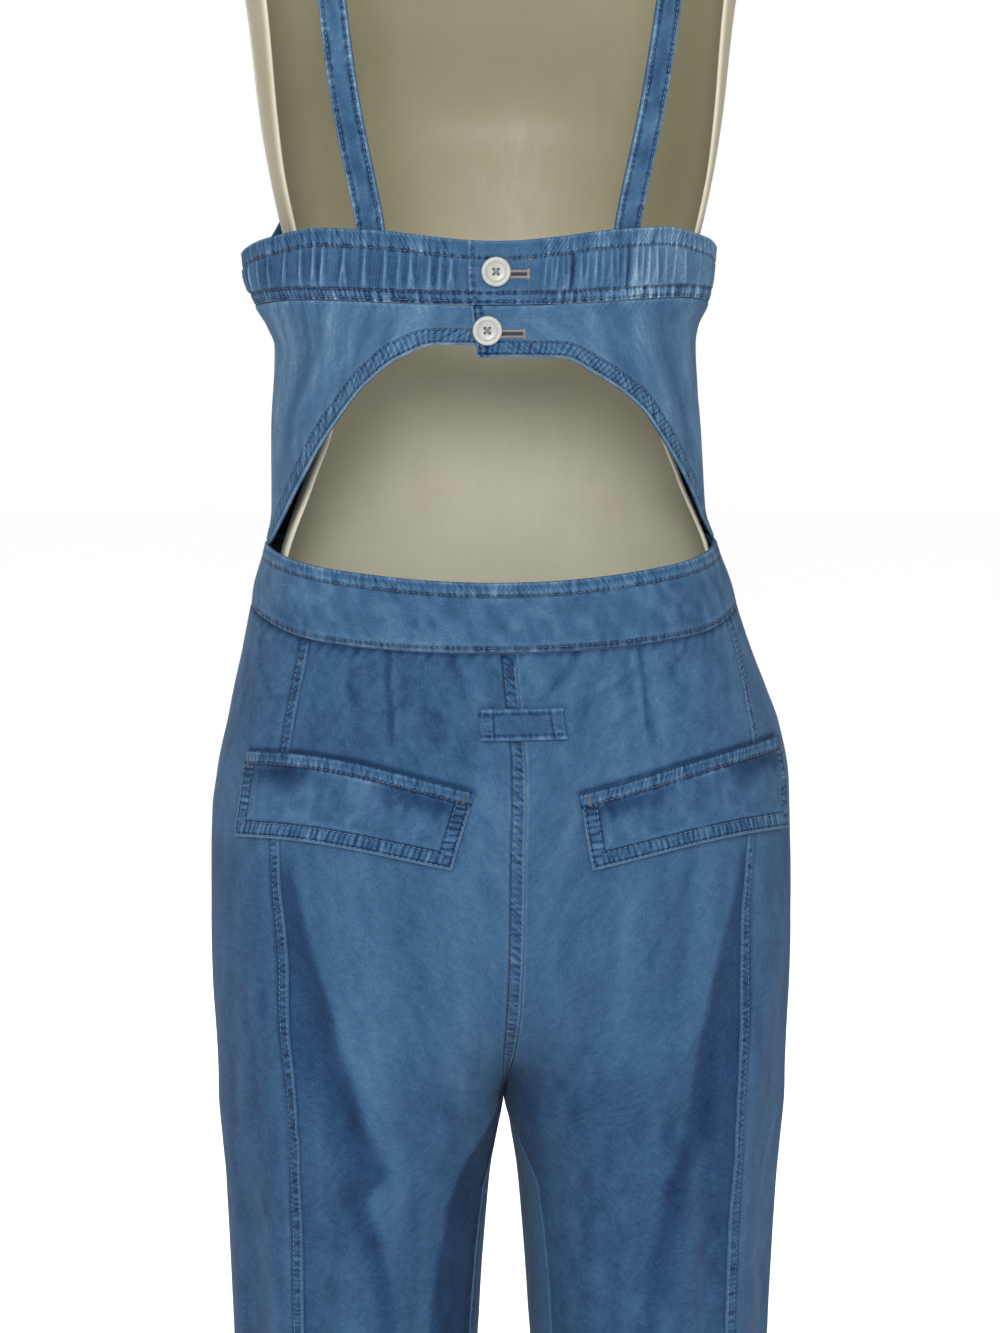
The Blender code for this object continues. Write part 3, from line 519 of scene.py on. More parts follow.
def wall_faces(rows, columns, up, across):
    """The faces of a closed wall: a fine outer grid, a coarser inner one and the rim between them."""
    outer_ids = np.arange((rows + 1) * (columns + 1)).reshape(rows + 1, columns + 1)
    inner_ids = outer_ids.size + np.arange(len(up) * len(across)).reshape(len(up), len(across))
    inner_quads = grid_quads(len(up) - 1, len(across) - 1, outer_ids.size)[:, ::-1]
    sides = [
        (outer_ids[0], inner_ids[0], across),
        (outer_ids[:, -1], inner_ids[:, -1], up),
        (outer_ids[-1, ::-1], inner_ids[-1, ::-1], columns - across[::-1]),
        (outer_ids[::-1, 0], inner_ids[::-1, 0], rows - up[::-1]),
    ]
    rim = []
    for outer, inner, at in sides:
        for s in range(len(at) - 1):
            middle = (at[s] + at[s + 1]) // 2
            rim.append((outer[middle], inner[s], inner[s + 1]))
            for j in range(at[s], at[s + 1]):
                rim.append((outer[j + 1], outer[j], inner[s] if j < middle else inner[s + 1]))
    return np.concatenate([grid_quads(rows, columns), inner_quads]), np.array(rim)


def add_piece(name, mesh, finish, node=None):
    """An object that rides on the part, takes its finish and may stand for a CAD node."""
    piece = bpy.data.objects.new(name, mesh)
    bpy.context.scene.collection.objects.link(piece)
    mesh.materials.append(finish)
    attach(piece, "root")
    if node:
        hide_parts(node)
    return piece


class Cloth:
    """A sewn piece as a fine grid. Rows climb and columns run across, both from 0 to 1."""

    count = 0

    def __init__(self, node, columns, rows, surface, wall):
        self.node, self.wall = node, wall
        self.columns, self.rows = columns, rows
        self.across, self.up = np.meshgrid(np.linspace(0, 1, columns + 1), np.linspace(0, 1, rows + 1))
        self.point, self.normal = surface(self.across, self.up)
        self.from_start, self.from_bottom = run_lengths(self.point, 1), run_lengths(self.point, 0)
        self.from_end = self.from_start[:, -1:] - self.from_start
        self.from_top = self.from_bottom[-1:, :] - self.from_bottom
        self.ends = np.minimum(self.from_start, self.from_end)
        self.width = float(self.from_start[:, -1].mean())
        self.height = self.point[..., 2]
        # Besides the relief, these layers hold random tone, rubbed pale edges, and painted light and shade in
        # folds, grooves and pinches
        for layer in ("relief", "tone", "worn", "ribs", "rungs"):
            setattr(self, layer, np.zeros_like(self.across))
        self.threads = {}
        Cloth.count += 1

    def edge_distance(self):
        return np.minimum(self.ends, np.minimum(self.from_top, self.from_bottom))

    def mark(self, shape, relief=0.0, **layers):
        """Adds a shape to the relief, in millimetres, and to other layers by name."""
        self.relief += relief * MM * shape
        for layer, amount in layers.items():
            getattr(self, layer)[...] += amount * shape

    def cloud(self, cells_across, cells_up, seed, relief=0.0, mask=1.0, **layers):
        """Marks the cloth with smooth noise of so many cells to a metre."""
        noise = value_noise(self.from_start * cells_across, self.from_bottom * cells_up, seed)
        self.mark(mask * noise, relief, **layers)

    def shape(self, wear_shade_scale, wear_shade_reach, roll=0.28):
        """Both faces from the relief, and the paler crests and darker hollows that follow it, wear with
        painted highlight and painted shade; sizes in millimetres.
        """
        rolled = 1 - rising(self.edge_distance(), 0, 1.0)
        relief = self.relief - roll * self.wall * rolled
        self.outer = self.point + self.normal * relief[..., None]
        under = 0.10 * self.wall * rolled - self.wall
        self.inner = self.point + self.normal * under[..., None]
        cells = max(1, round(wear_shade_reach * MM / (self.width / self.columns)))
        height = self.relief - blurred(self.relief, cells)
        # Painted light and shade: crests above the blurred relief turn paler, hollows darker
        self.wear_and_shading = np.tanh(height / (wear_shade_scale * MM)) + self.worn
        normal = np.cross(np.gradient(self.outer, axis=0), np.gradient(self.outer, axis=1))
        facing = np.sign((normal * self.normal).sum(-1, keepdims=True))
        self.face_normal = unit(normal * facing)

    def sample(self, values, across, up):
        """Values of the grid at shares across and up."""
        x = np.clip(np.asarray(across) * self.columns, 0, self.columns - 1e-6)
        y = np.clip(np.asarray(up) * self.rows, 0, self.rows - 1e-6)
        i, j = x.astype(int), y.astype(int)
        fx, fy = (x - i)[:, None], (y - j)[:, None]
        flat = values.reshape(self.rows + 1, self.columns + 1, -1)
        low = between(flat[j, i], flat[j, i + 1], fx)
        high = between(flat[j + 1, i], flat[j + 1, i + 1], fx)
        return between(low, high, fy)

    def edge_line(self, edge, inset, start, end, count):
        """Shares across and up along a line at an inset from one edge, for every column or one."""
        along = np.linspace(start, end, count)
        if edge in ("top", "bottom"):
            lengths = self.from_top if edge == "top" else self.from_bottom
            columns = np.clip(np.round(along * self.columns).astype(int), 0, self.columns)
            shares = np.linspace(0, 1, self.rows + 1)
            order = slice(None, None, -1) if edge == "top" else slice(None)
            reach = np.broadcast_to(inset, self.columns + 1)
            up = [np.interp(reach[c], lengths[order, c], shares[order]) for c in columns]
            return along, np.array(up)
        lengths = self.from_start if edge == "start" else self.from_end
        rows = np.clip(np.round(along * self.rows).astype(int), 0, self.rows)
        shares = np.linspace(0, 1, self.columns + 1)
        order = slice(None) if edge == "start" else slice(None, None, -1)
        across = [np.interp(inset, lengths[r, order], shares[order]) for r in rows]
        return np.array(across), along

    def places(self, across, up, pitch, fewest):
        """Even places along a line of the outer face: a look-up by distance, middles and normals."""
        points = self.sample(self.outer, across, up)
        normals = unit(self.sample(self.face_normal, across, up))
        run = run_lengths(points[None], 1)[0]
        count = max(fewest, int(run[-1] / pitch))
        middle = (np.arange(count) + 0.5) * run[-1] / count

        def at(distance, values=points):
            return np.stack([np.interp(distance, run, values[:, k]) for k in range(3)], 1)

        return at, middle, unit(at(middle, normals))

    def sew(self, across, up, thread):
        """A row of stitches along a line of the outer face."""
        at, middle, normal = self.places(across, up, STITCH_PITCH, 1)
        first, last = at(middle - STITCH_LENGTH / 2), at(middle + STITCH_LENGTH / 2)
        rise = normal * STITCH_LIFT
        self.threads.setdefault(thread, []).append((first + rise, last + rise, normal, THREAD_RADIUS))

    def row(self, edge, inset, start, end, count, thread):
        """A row of stitches at an inset from an edge."""
        self.sew(*self.edge_line(edge, inset, start, end, count), thread)

    def bars(self, across, up, width, thread, pitch, radius, lift):
        """A close row of stitches that lie across a line; sizes in millimetres."""
        at, middle, normal = self.places(across, up, pitch * MM, 2)
        along = unit(at(middle + 0.5 * MM) - at(middle - 0.5 * MM))
        reach = np.cross(normal, along) * width * MM / 2
        centre = at(middle) + normal * lift * MM
        self.threads.setdefault(thread, []).append((centre - reach, centre + reach, normal, radius * MM))

    def make(self, finish, slot):
        """The closed wall as a piece, and one piece for each kind of thread on it."""
        up, across = picks(self.rows, INNER_STEP), picks(self.columns, INNER_STEP)
        inside = np.ix_(up, across)

        def both(outer, inner):
            width = outer.size // self.across.size
            return np.concatenate([outer.reshape(-1, width), inner.reshape(-1, width)])

        place = self.from_start - self.from_start[:, -1:] / 2 + UV_SHIFT[0] * Cloth.count
        uv = np.stack([place, self.from_bottom + UV_SHIFT[1] * Cloth.count], -1)
        attributes = {}
        for layer, hidden in (("wear_and_shading", 0.0), ("tone", INSIDE_TONE), ("ribs", 0.0), ("rungs", 0.0)):
            values = getattr(self, layer)
            attributes[layer] = both(values, np.full_like(values[inside], hidden)).ravel()
        quads, rim = wall_faces(self.rows, self.columns, up, across)
        first = np.cross(self.outer[0, 1] - self.outer[0, 0], self.outer[1, 0] - self.outer[0, 0])
        if np.dot(first, self.normal[0, 0]) < 0:
            quads, rim = quads[:, ::-1], rim[:, ::-1]
        points = both(self.outer, self.inner[inside])
        mesh = quad_mesh(self.node, points, quads, both(uv, uv[inside]), attributes, rim)
        piece = add_piece(f"{self.node}_cloth", mesh, finish, self.node)
        for kind, rows in self.threads.items():
            threads = stitch_mesh(f"{self.node}_{kind}", rows)
            add_piece(f"{self.node}_{kind}_thread", threads, THREADS[kind])
        return piece

    def area(self):
        """The smooth grid's area in square metres."""
        a = self.point[1:, 1:] - self.point[:-1, :-1]
        b = self.point[1:, :-1] - self.point[:-1, 1:]
        return round(float(np.linalg.norm(np.cross(a, b), axis=-1).sum() / 2), 4)


def stitch_mesh(name, rows):
    """Short rounded threads between pairs of points."""
    first = np.concatenate([row[0] for row in rows])
    last = np.concatenate([row[1] for row in rows])
    normal = np.concatenate([row[2] for row in rows])
    radius = np.concatenate([np.full(len(row[0]), row[3]) for row in rows])[:, None]
    along = unit(last - first)
    side = unit(np.cross(normal, along))
    rise = np.cross(along, side)
    rings = []
    for share, size in ((0.0, 0.6), (0.5, 1.0), (1.0, 0.6)):
        centre = between(first, last, share)
        for x, y in ((1, 0), (0, 1), (-1, 0), (0, -1)):
            rings.append(centre + (side * x + rise * y) * radius * size)
    points = np.stack(rings, 1).reshape(-1, 3)
    faces = [(3, 2, 1, 0), (8, 9, 10, 11)]
    for ring in range(2):
        for corner in range(4):
            low, after = 4 * ring + corner, 4 * ring + (corner + 1) % 4
            faces.append((low, after, after + 4, low + 4))
    quads = (np.arange(len(first))[:, None, None] * 12 + np.array(faces)[None]).reshape(-1, 4)
    return quad_mesh(name, points, quads)


# Materials


class Shader:
    """A material whose nodes are added one call at a time."""

    def __init__(self, name, roughness, metallic=0.0):
        self.material = bpy.data.materials.new(name)
        self.material.use_nodes = True
        self.tree = self.material.node_tree
        self.surface = self.tree.nodes["Principled BSDF"]
        self.surface.inputs["Roughness"].default_value = roughness
        self.surface.inputs["Metallic"].default_value = metallic

    def put(self, node, key, value):
        socket = node.inputs[key]
        if isinstance(value, bpy.types.NodeSocket):
            self.tree.links.new(value, socket)
        else:
            socket.default_value = value

    def add(self, kind, inputs, **settings):
        node = self.tree.nodes.new(kind)
        for key, value in settings.items():
            setattr(node, key, value)
        for key, value in inputs.items():
            self.put(node, key, value)
        return node

    def sum(self, *terms):
        """Terms are sockets or numbers, or (socket, factor) pairs."""
        total = None
        for term in terms:
            if isinstance(term, tuple):
                inputs = {0: term[0], 1: term[1], 2: 0.0 if total is None else total}
                total = self.add("ShaderNodeMath", inputs, operation="MULTIPLY_ADD").outputs[0]
            elif total is None:
                total = term
            else:
                total = self.add("ShaderNodeMath", {0: total, 1: term}, operation="ADD").outputs[0]
        return total

    def math(self, operation, a, b=0.0):
        return self.add("ShaderNodeMath", {0: a, 1: b}, operation=operation).outputs[0]

    def attribute(self, name):
        return self.add("ShaderNodeAttribute", {}, attribute_name=name).outputs["Fac"]

    def uv(self):
        return self.add("ShaderNodeUVMap", {}, uv_map="cloth").outputs[0]

    def place(self):
        return self.add("ShaderNodeTexCoord", {}).outputs["Object"]

    def noise(self, vector, scale, detail=2.0, roughness=0.5):
        """Noise whose middle is at zero; scale is cells to a metre along each axis."""
        stretched = self.add("ShaderNodeVectorMath", {0: vector, 1: scale}, operation="MULTIPLY").outputs[0]
        inputs = {"Vector": stretched, "Scale": 1.0, "Detail": detail, "Roughness": roughness}
        made = self.add("ShaderNodeTexNoise", inputs)
        return self.math("SUBTRACT", made.outputs[0], 0.5)

    def ramp(self, factor, stops):
        node = self.add("ShaderNodeValToRGB", {0: factor})
        elements = node.color_ramp.elements
        while len(elements) < len(stops):
            elements.new(0.5)
        for element, (position, colour) in zip(elements, stops):
            element.position = position
            element.color = (*colour, 1.0)
        return node.outputs[0]

    def paint(self, factor, stops):
        self.put(self.surface, "Base Color", self.ramp(factor, stops))

    def roughen(self, value):
        self.put(self.surface, "Roughness", value)

    def bump(self, height, distance, strength=1.0):
        made = self.add("ShaderNodeBump", {"Height": height, "Distance": distance, "Strength": strength})
        self.put(self.surface, "Normal", made.outputs[0])


TWILL_PER_METRE = (1100, 900)


def denim(name, lift):
    """Washed twill: uneven warp, paler weft, soft clouds, crests paler from wear and painted highlight,
    painted shade in recesses, and pinched seams.
    """
    s = Shader(name, 0.92)
    cloth = s.uv()
    warp = s.noise(cloth, (1300, 260, 1), 3.0, 0.6)
    weft = s.noise(cloth, (160, 1400, 1), 2.0, 0.6)
    speck = s.noise(cloth, (950, 850, 1), 2.0, 0.6)
    mottle = s.noise(cloth, (230, 190, 1), 4.0, 0.65)
    cloud = s.noise(cloth, (46, 30, 1), 5.0, 0.6)
    drift = s.noise(cloth, (10, 6, 1), 3.0, 0.55)
    # Painted light and shade of the puckers: this noise lightens and darkens the stitched strips, and also
    # bumps them
    ribs = s.math("MULTIPLY", s.attribute("ribs"), s.noise(cloth, (360, 60, 1), 2.0, 0.5))
    rungs = s.math("MULTIPLY", s.attribute("rungs"), s.noise(cloth, (60, 360, 1), 2.0, 0.5))
    wear_and_shading, tone = s.attribute("wear_and_shading"), s.attribute("tone")
    # The two attributes read here add painted light and shade to the colour, beside wear and random tone
    shade = s.sum(
        0.46 + lift, (warp, 0.20), (weft, 0.14), (speck, 0.36), (mottle, 0.30), (cloud, 0.22),
        (drift, 0.20), (wear_and_shading, 0.24), (tone, 0.20), (ribs, 1.7), (rungs, 1.7),
    )
    s.paint(shade, [
        (0.00, (0.0040, 0.0155, 0.0450)),
        (0.22, (0.0105, 0.0345, 0.0810)),
        (0.45, (0.0270, 0.0700, 0.1360)),
        (0.62, (0.0480, 0.1030, 0.1750)),
        (0.80, (0.0950, 0.1650, 0.2450)),
        (1.00, (0.2000, 0.2700, 0.3300)),
    ])
    parts = s.add("ShaderNodeSeparateXYZ", {0: cloth}).outputs
    turns = [(part, 2 * PI * lines) for part, lines in zip(parts, TWILL_PER_METRE)]
    twill = s.math("SINE", s.sum(*turns))
    height = s.sum((twill, 0.10), (warp, 0.9), (weft, 0.5), (speck, 0.5), (ribs, 1.5), (rungs, 1.5))
    s.bump(height, 0.25 * MM, 0.9)
    s.surface.inputs["Sheen Weight"].default_value = 0.02
    s.surface.inputs["Sheen Roughness"].default_value = 0.6
    s.surface.inputs["Specular IOR Level"].default_value = 0.10
    return s.material


def thread(name, pale, deep):
    """Twisted sewing thread whose dye varies along its length."""
    s = Shader(name, 0.75)
    place = s.place()
    patch = s.noise(place, (60, 60, 60), 3.0, 0.6)
    ply = s.noise(place, (2600, 2600, 2600), 1.0)
    s.paint(s.sum(0.5, (patch, 1.5), (ply, 0.5)), [(0.15, deep), (0.85, pale)])
    s.bump(ply, 0.08 * MM)
    return s.material


def form_plastic(name):
    """Satin beige shell with painted light where the cloth covers its middle and a darker, yellower bare top
    that is painted shade and yellowing, with faint mottling and fine scuffs.
    """
    s = Shader(name, 0.42)
    place = s.place()
    mottle = s.noise(place, (14, 14, 14), 4.0, 0.6)
    grain = s.noise(place, (500, 500, 500), 2.0)
    scuff = s.noise(place, (160, 160, 12), 4.0, 0.7)
    # Painted highlight: the shell turns paler along its rim
    rim = s.attribute("rim")
    # Painted light in the covered middle, and painted shade with some yellowing at the bare top
    light_and_yellowing = s.attribute("light_and_yellowing")
    s.paint(s.sum(0.42, (mottle, 0.22), (grain, 0.06), (scuff, 0.08), (rim, 0.5), (light_and_yellowing, 0.30)), [
        (0.0, (0.155, 0.138, 0.075)),
        (0.5, (0.268, 0.247, 0.166)),
        (1.0, (0.520, 0.500, 0.410)),
    ])
    s.roughen(s.sum(0.52, (scuff, 0.25), (grain, 0.08)))
    s.bump(s.sum((grain, 0.5), (mottle, 1.5)), 0.20 * MM, 0.5)
    return s.material


def button_plastic(name):
    """Off-white resin with a faint swirl and a satin gloss."""
    s = Shader(name, 0.28)
    place = s.place()
    swirl = s.noise(place, (260, 260, 260), 4.0, 0.55)
    fine = s.noise(place, (1800, 1800, 1800), 2.0)
    s.paint(s.sum(0.5, (swirl, 0.8), (fine, 0.3)), [
        (0.1, (0.23, 0.235, 0.22)),
        (0.9, (0.36, 0.365, 0.345)),
    ])
    s.roughen(s.sum(0.36, (fine, 0.2)))
    s.bump(fine, 0.05 * MM, 0.5)
    return s.material


def brushed_steel(name):
    """Steel with fine brushed lines and soft smudges."""
    s = Shader(name, 0.32, 1.0)
    place = s.place()
    brush = s.noise(place, (900, 900, 14), 3.0, 0.6)
    smudge = s.noise(place, (16, 16, 16), 3.0, 0.6)
    s.paint(s.sum(0.5, (brush, 0.5), (smudge, 0.3)), [
        (0.1, (0.42, 0.43, 0.45)),
        (0.9, (0.66, 0.67, 0.69)),
    ])
    s.roughen(s.sum(0.33, (brush, 0.25), (smudge, 0.2)))
    s.bump(brush, 0.03 * MM)
    return s.material


def board_wood(name):
    """Lacquered plywood with a plain grain."""
    s = Shader(name, 0.5)
    place = s.place()
    wave = s.noise(place, (7, 60, 60), 4.0, 0.6)
    pore = s.noise(place, (60, 1400, 1400), 3.0, 0.6)
    s.paint(s.sum(0.5, (wave, 0.9), (pore, 0.5)), [
        (0.1, (0.26, 0.17, 0.09)),
        (0.9, (0.52, 0.38, 0.23)),
    ])
    s.roughen(s.sum(0.5, (pore, 0.3)))
    s.bump(pore, 0.1 * MM)
    return s.material


def matt(name, colour, roughness=0.9):
    """A plain matt stage surface with a very faint unevenness."""
    s = Shader(name, roughness)
    s.surface.inputs["Base Color"].default_value = (*colour, 1.0)
    s.bump(s.noise(s.place(), (40, 40, 40), 2.0), 0.1 * MM, 0.1)
    return s.material


def dark_cloth(name):
    """The shaded cut edge inside a buttonhole."""
    s = Shader(name, 0.95)
    fibre = s.noise(s.place(), (2500, 2500, 2500), 2.0)
    s.paint(s.sum(0.5, (fibre, 1.0)), [
        (0.1, (0.006, 0.010, 0.018)), (0.9, (0.020, 0.035, 0.055)),
    ])
    s.bump(fibre, 0.1 * MM)
    return s.material


DENIM_TOP = denim("denim_top", 0.02)
DENIM_LEGS = denim("denim_legs", 0.0)
DENIM_TRIM = denim("denim_trim", -0.03)
THREADS = {
    "tan": thread("thread_tan", (0.125, 0.112, 0.092), (0.050, 0.050, 0.048)),
    "blue": thread("thread_blue", (0.12, 0.18, 0.23), (0.035, 0.065, 0.110)),
    "hole": thread("thread_buttonhole", (0.27, 0.225, 0.195), (0.13, 0.105, 0.092)),
}
BUTTON_THREAD = thread("thread_button", (0.16, 0.17, 0.17), (0.07, 0.08, 0.09))
HOLE_DARK = dark_cloth("buttonhole_slot")


# Cloth details


def seam_ridge(cloth, edge, lean, seed, width, ridge=0.32, depth=0.22):
    """A lapped seam along an edge: a raised, paler fold, pinches beside it and the far stitching, with
    painted shade in the pinches and the stitching's groove; in mm.
    """
    distance = cloth.from_start if edge == "start" else cloth.from_end
    along = cloth.from_bottom + lean * distance
    fine = smoothstep(cloth.height, SHOWN_FROM - 10 * MM, SHOWN_FROM + 10 * MM)
    pinch = between(notches(along, 15.0, seed, 4.0), notches(along, 4.2, seed, 0.8), fine)
    inside = rising(distance, 0.9, 2.0) * (1 - rising(distance, width - 0.4, width + 1.0))
    cloth.mark(1 - rising(distance, 1.0, 2.2), ridge)
    # Painted shade in the strip beside the fold, in its pinches and in the far row's groove
    cloth.mark(inside, 0.14, tone=-0.3, rungs=0.6)
    cloth.mark(inside * pinch, -depth, tone=-0.8)
    cloth.mark(line(distance, width + 0.5, 0.8), -0.28)
    cloth.mark(line(distance, width + 0.5, 0.9), tone=-0.6)
    cloth.mark(line(distance, 0.8, 0.8), worn=0.30)


def hem_relief(
    cloth, distance, along, seed, strip, period=3.2, depth=0.45, slant=0.35, mask=1.0, layer="ribs",
):
    """A turned hem: a rounded pale edge, short leaning pinches and a groove under each stitch row, with
    painted shade in the pinches and grooves.
    """
    turned = 1 - smoothstep(distance, strip - 0.4 * MM, strip + 0.9 * MM)
    inside = mask * turned * rising(distance, 1.0, 2.0)
    pinch = notches(along + slant * distance, period, seed, 0.75)
    rows = mask * (line(distance, 2.2, 0.6) + bell(distance - strip, 0.8 * MM))
    cloth.mark(inside, 0.18, worn=-0.10, **{layer: 0.6})
    # Painted shade in the pinches and in the grooves under the stitch rows; the edge is rubbed paler
    cloth.mark(inside * pinch, -depth, worn=-1.4)
    cloth.mark(rows, -0.32, worn=-0.9, **{layer: 0.6})
    cloth.mark(mask * line(distance, 0.5, 1.0), 0.22)
    cloth.mark(mask * line(distance, 0.5, 0.8), worn=0.6)


# The gathers' ridges from the placket to the side seam in degrees, and grooves between them
GATHERS = {
    1: (10.2, 12.7, 15.2, 19.6, 22.5, 26.0, 31.5, 37.4, 43.8, 46.9, 51.5, 58.1, 66.3, 73.0, 80.0, 86.0, 92.0),
    -1: (7.9, 9.3, 10.4, 12.0, 13.2, 16.6, 18.4, 20.6, 22.4, 24.9, 26.6, 28.6, 32.3, 34.2, 36.4, 39.2,
         42.6, 46.4, 51.0, 60.0, 70.0, 80.0, 90.0),
}
GATHER_GROOVES = {1: (), -1: (14.6, 30.4)}
# The right band is smoother from this gather on
SMOOTH_FROM = 19
# Each band's gathers in mm, the contrast of their painted light and shade, the scale in mm of their wear and
# painted shading, and the ends of its stitch rows
BAND_LOOKS = {
    1: SimpleNamespace(height=1.7, contrast=0.85, wear_shade_scale=0.55, row_ends=(0.10, 0.995)),
    -1: SimpleNamespace(height=1.4, contrast=0.55, wear_shade_scale=1.0, row_ends=(0.005, 0.945)),
}
BAND_HEADER = 0.0100
BAND_SEAM_STRIP = 0.0072
STRIP_EDGE = 0.5 * MM


def band_relief(cloth, side, degrees):
    """Gathers held by the elastic: sharp pale ridges that flare downwards, pinched at each stitch row; the
    ridges carry painted highlight, the hollows, pinches and stitch rows painted shade.
    """
    look = BAND_LOOKS[side]
    low, top = cloth.from_bottom, cloth.from_top
    order = np.argsort(degrees[0])
    u = side * (cloth.from_start - np.interp(0.0, degrees[0, order], cloth.from_start[0, order]))

    def metres(places):
        return np.interp(places, degrees[0, order], u[0, order])

    height = low + top
    up = low / height
    header = smoothstep(top, BAND_HEADER + STRIP_EDGE, BAND_HEADER - STRIP_EDGE)
    strip = smoothstep(low, BAND_SEAM_STRIP + STRIP_EDGE, BAND_SEAM_STRIP - STRIP_EDGE)
    climb = (low - BAND_SEAM_STRIP) / (height - BAND_HEADER - BAND_SEAM_STRIP)
    rise = np.sin(PI * np.clip(climb, 0, 1)) ** 0.35
    ridges, lines, hollows = np.zeros_like(u), np.zeros_like(u), np.zeros_like(u)
    rng = np.random.default_rng(7 + side)
    for number, place in enumerate(metres(GATHERS[side])):
        lean, split, size = rng.uniform(-1.0, 1.0), rng.uniform(0.3, 1.5), rng.uniform(0.6, 1.0)
        if side < 0 and number >= SMOOTH_FROM:
            size *= 0.35
        fork = split * MM * smoothstep(up, 0.60, 0.20)
        spine = u - place - lean * MM * (up - 0.5) * 2
        half = between(1.5 * MM, 0.65 * MM, smoothstep(up, 0.18, 0.6))
        second = 0.4 + 0.5 * rng.random()
        ridges += size * np.maximum(crest(spine - fork, half), crest(spine + fork, half) * second)
        lines += size * np.maximum(bell(spine - fork, 0.8 * half), bell(spine + fork, 0.8 * half) * second)
        hollows += size * rng.uniform(0.2, 1.0) * bell(spine - rng.choice((-1, 1)) * 2.6 * MM, 1.7 * MM)
    for degree in GATHER_GROOVES[side]:
        groove = crest(u - metres(degree) + 0.8 * MM * (up - 0.5), 1.0 * MM)
        ridges -= 1.6 * groove
        hollows += 1.5 * groove
    flat = smoothstep(np.abs(degrees), 7.5, 9.5) if side > 0 else smoothstep(degrees, 7.0, 9.5)
    sewn = flat * rising(cloth.from_end if side > 0 else cloth.from_start, 0, 6)
    fine = notches(u + 0.6 * top, 2.5, 31 + side, 0.6)
    pinch = notches(u - 0.4 * side * low, 3.0, 37 + side, 0.75)
    free = sewn * (1 - header) * (1 - strip)
    cloth.mark(free * ridges * rise, look.height)
    cloth.mark(free * ripples(u, 1.9 * MM, 41 + side, low, 0.1), 0.16)
    # Painted light and shade: paler ridge lines and darker hollows between the gathers
    cloth.mark(free * (lines * rise**2 - 0.9 * hollows * rise), worn=look.contrast)
    cloth.mark(free * (0.55 * value_noise(u * 110, up * 1.7, 43 + side) - 0.35), tone=1.0)
    cloth.mark(sewn * header, 0.30, worn=-0.10, ribs=0.6)
    # Painted shade in the pinches of both stitched strips and in the grooves of the stitch rows
    cloth.mark(sewn * header * fine, -0.55, worn=-0.8)
    cloth.mark(sewn * strip, 0.14, worn=-0.2, ribs=0.7)
    cloth.mark(sewn * strip * pinch, -0.34, worn=-1.0)
    for inset, lengths, dark in ((BAND_HEADER, top, 1.0), (BAND_SEAM_STRIP, low, 1.5), (2.0 * MM, low, 1.3)):
        cloth.mark(bell(lengths - inset, 0.8 * MM), -0.42, worn=-dark)
        cloth.mark(bell(lengths - inset, 1.4 * MM), ribs=1.2)
    cloth.mark(line(top, 0.0, 1.6), 0.25)
    cloth.mark(line(top, 0.6, 0.9), worn=0.5)
    cloth.mark(line(low, 0.5, 0.6), worn=0.3)


# The ends of each side's back pieces, from the placket to the side seam
BACK_ENDS = {
    1: (PLACKET_UNDER, SIDE_SEAM - HALF_SEAM_ANGLE),
    -1: (-SIDE_SEAM + HALF_SEAM_ANGLE, PLACKET_OVER),
}
PLACKET_ROW = -5.8
PLACKET_INSET = 3.0 * MM


def placket_end(cloth, edge_ends, row_ends, hole):
    """The upper placket's two stitch rows and its buttonhole."""
    cloth.row("end", PLACKET_INSET, *edge_ends, 60, "tan")
    degrees = np.degrees(between(*BACK_ENDS[-1], cloth.across[0]))
    share = np.interp(PLACKET_ROW, degrees, cloth.across[0])
    cloth.sew(np.full(40, share), np.linspace(*row_ends, 40), "tan")
    buttonhole(cloth, degrees, *hole)


def band(node, side):
    """Half of the elastic casing, from its placket end to the side seam."""
    def surface(across, up):
        angle = between(*BACK_ENDS[side], across)
        height = between(edge_height(BAND_BOTTOM, angle) + SEAM_GAP / 2, edge_height(BAND_TOP, angle), up)
        return garment_face(angle, height, lap_lift(side, angle))

    cloth = Cloth(node, 400, 58, surface, DOUBLE_WALL)
    degrees = np.degrees(side * between(*BACK_ENDS[side], cloth.across))
    band_relief(cloth, side, degrees)
    if side < 0:
        placket = smoothstep(degrees, 8.0, 6.2)
        edge = cloth.from_end
        # Painted light: the right band is lighter past 12 degrees, and more so past its groove at 30 degrees
        cloth.mark(smoothstep(degrees, 30.4, 33), tone=0.75)
        cloth.mark(smoothstep(degrees, 7, 12), tone=0.42)
        cloth.mark(placket * (line(edge, 1.2, 0.9) - line(edge, 3.0, 0.8)), 0.28)
        cloth.mark(line(edge, 0.6, 0.9), worn=0.5)
        # Painted shade in the placket's stitch groove
        cloth.mark(placket * line(edge, 3.0, 0.9), worn=-0.8)
        cloth.mark(placket * line(edge, 2.4, 2.0), rungs=0.8)
    look = BAND_LOOKS[side]
    cloth.shape(look.wear_shade_scale, 3.0)
    cloth.row("top", BAND_HEADER, *look.row_ends, 500, "tan")
    cloth.row("bottom", 2.2 * MM, *look.row_ends, 500, "blue")
    cloth.row("bottom", BAND_SEAM_STRIP, *look.row_ends, 500, "tan")
    if side < 0:
        placket_end(cloth, (0.03, 0.97), (0.06, 0.94), (-5.8, 0.6, 1.2680, "buttonhole_upper"))
    piece = cloth.make(DENIM_TOP, "denim_top")


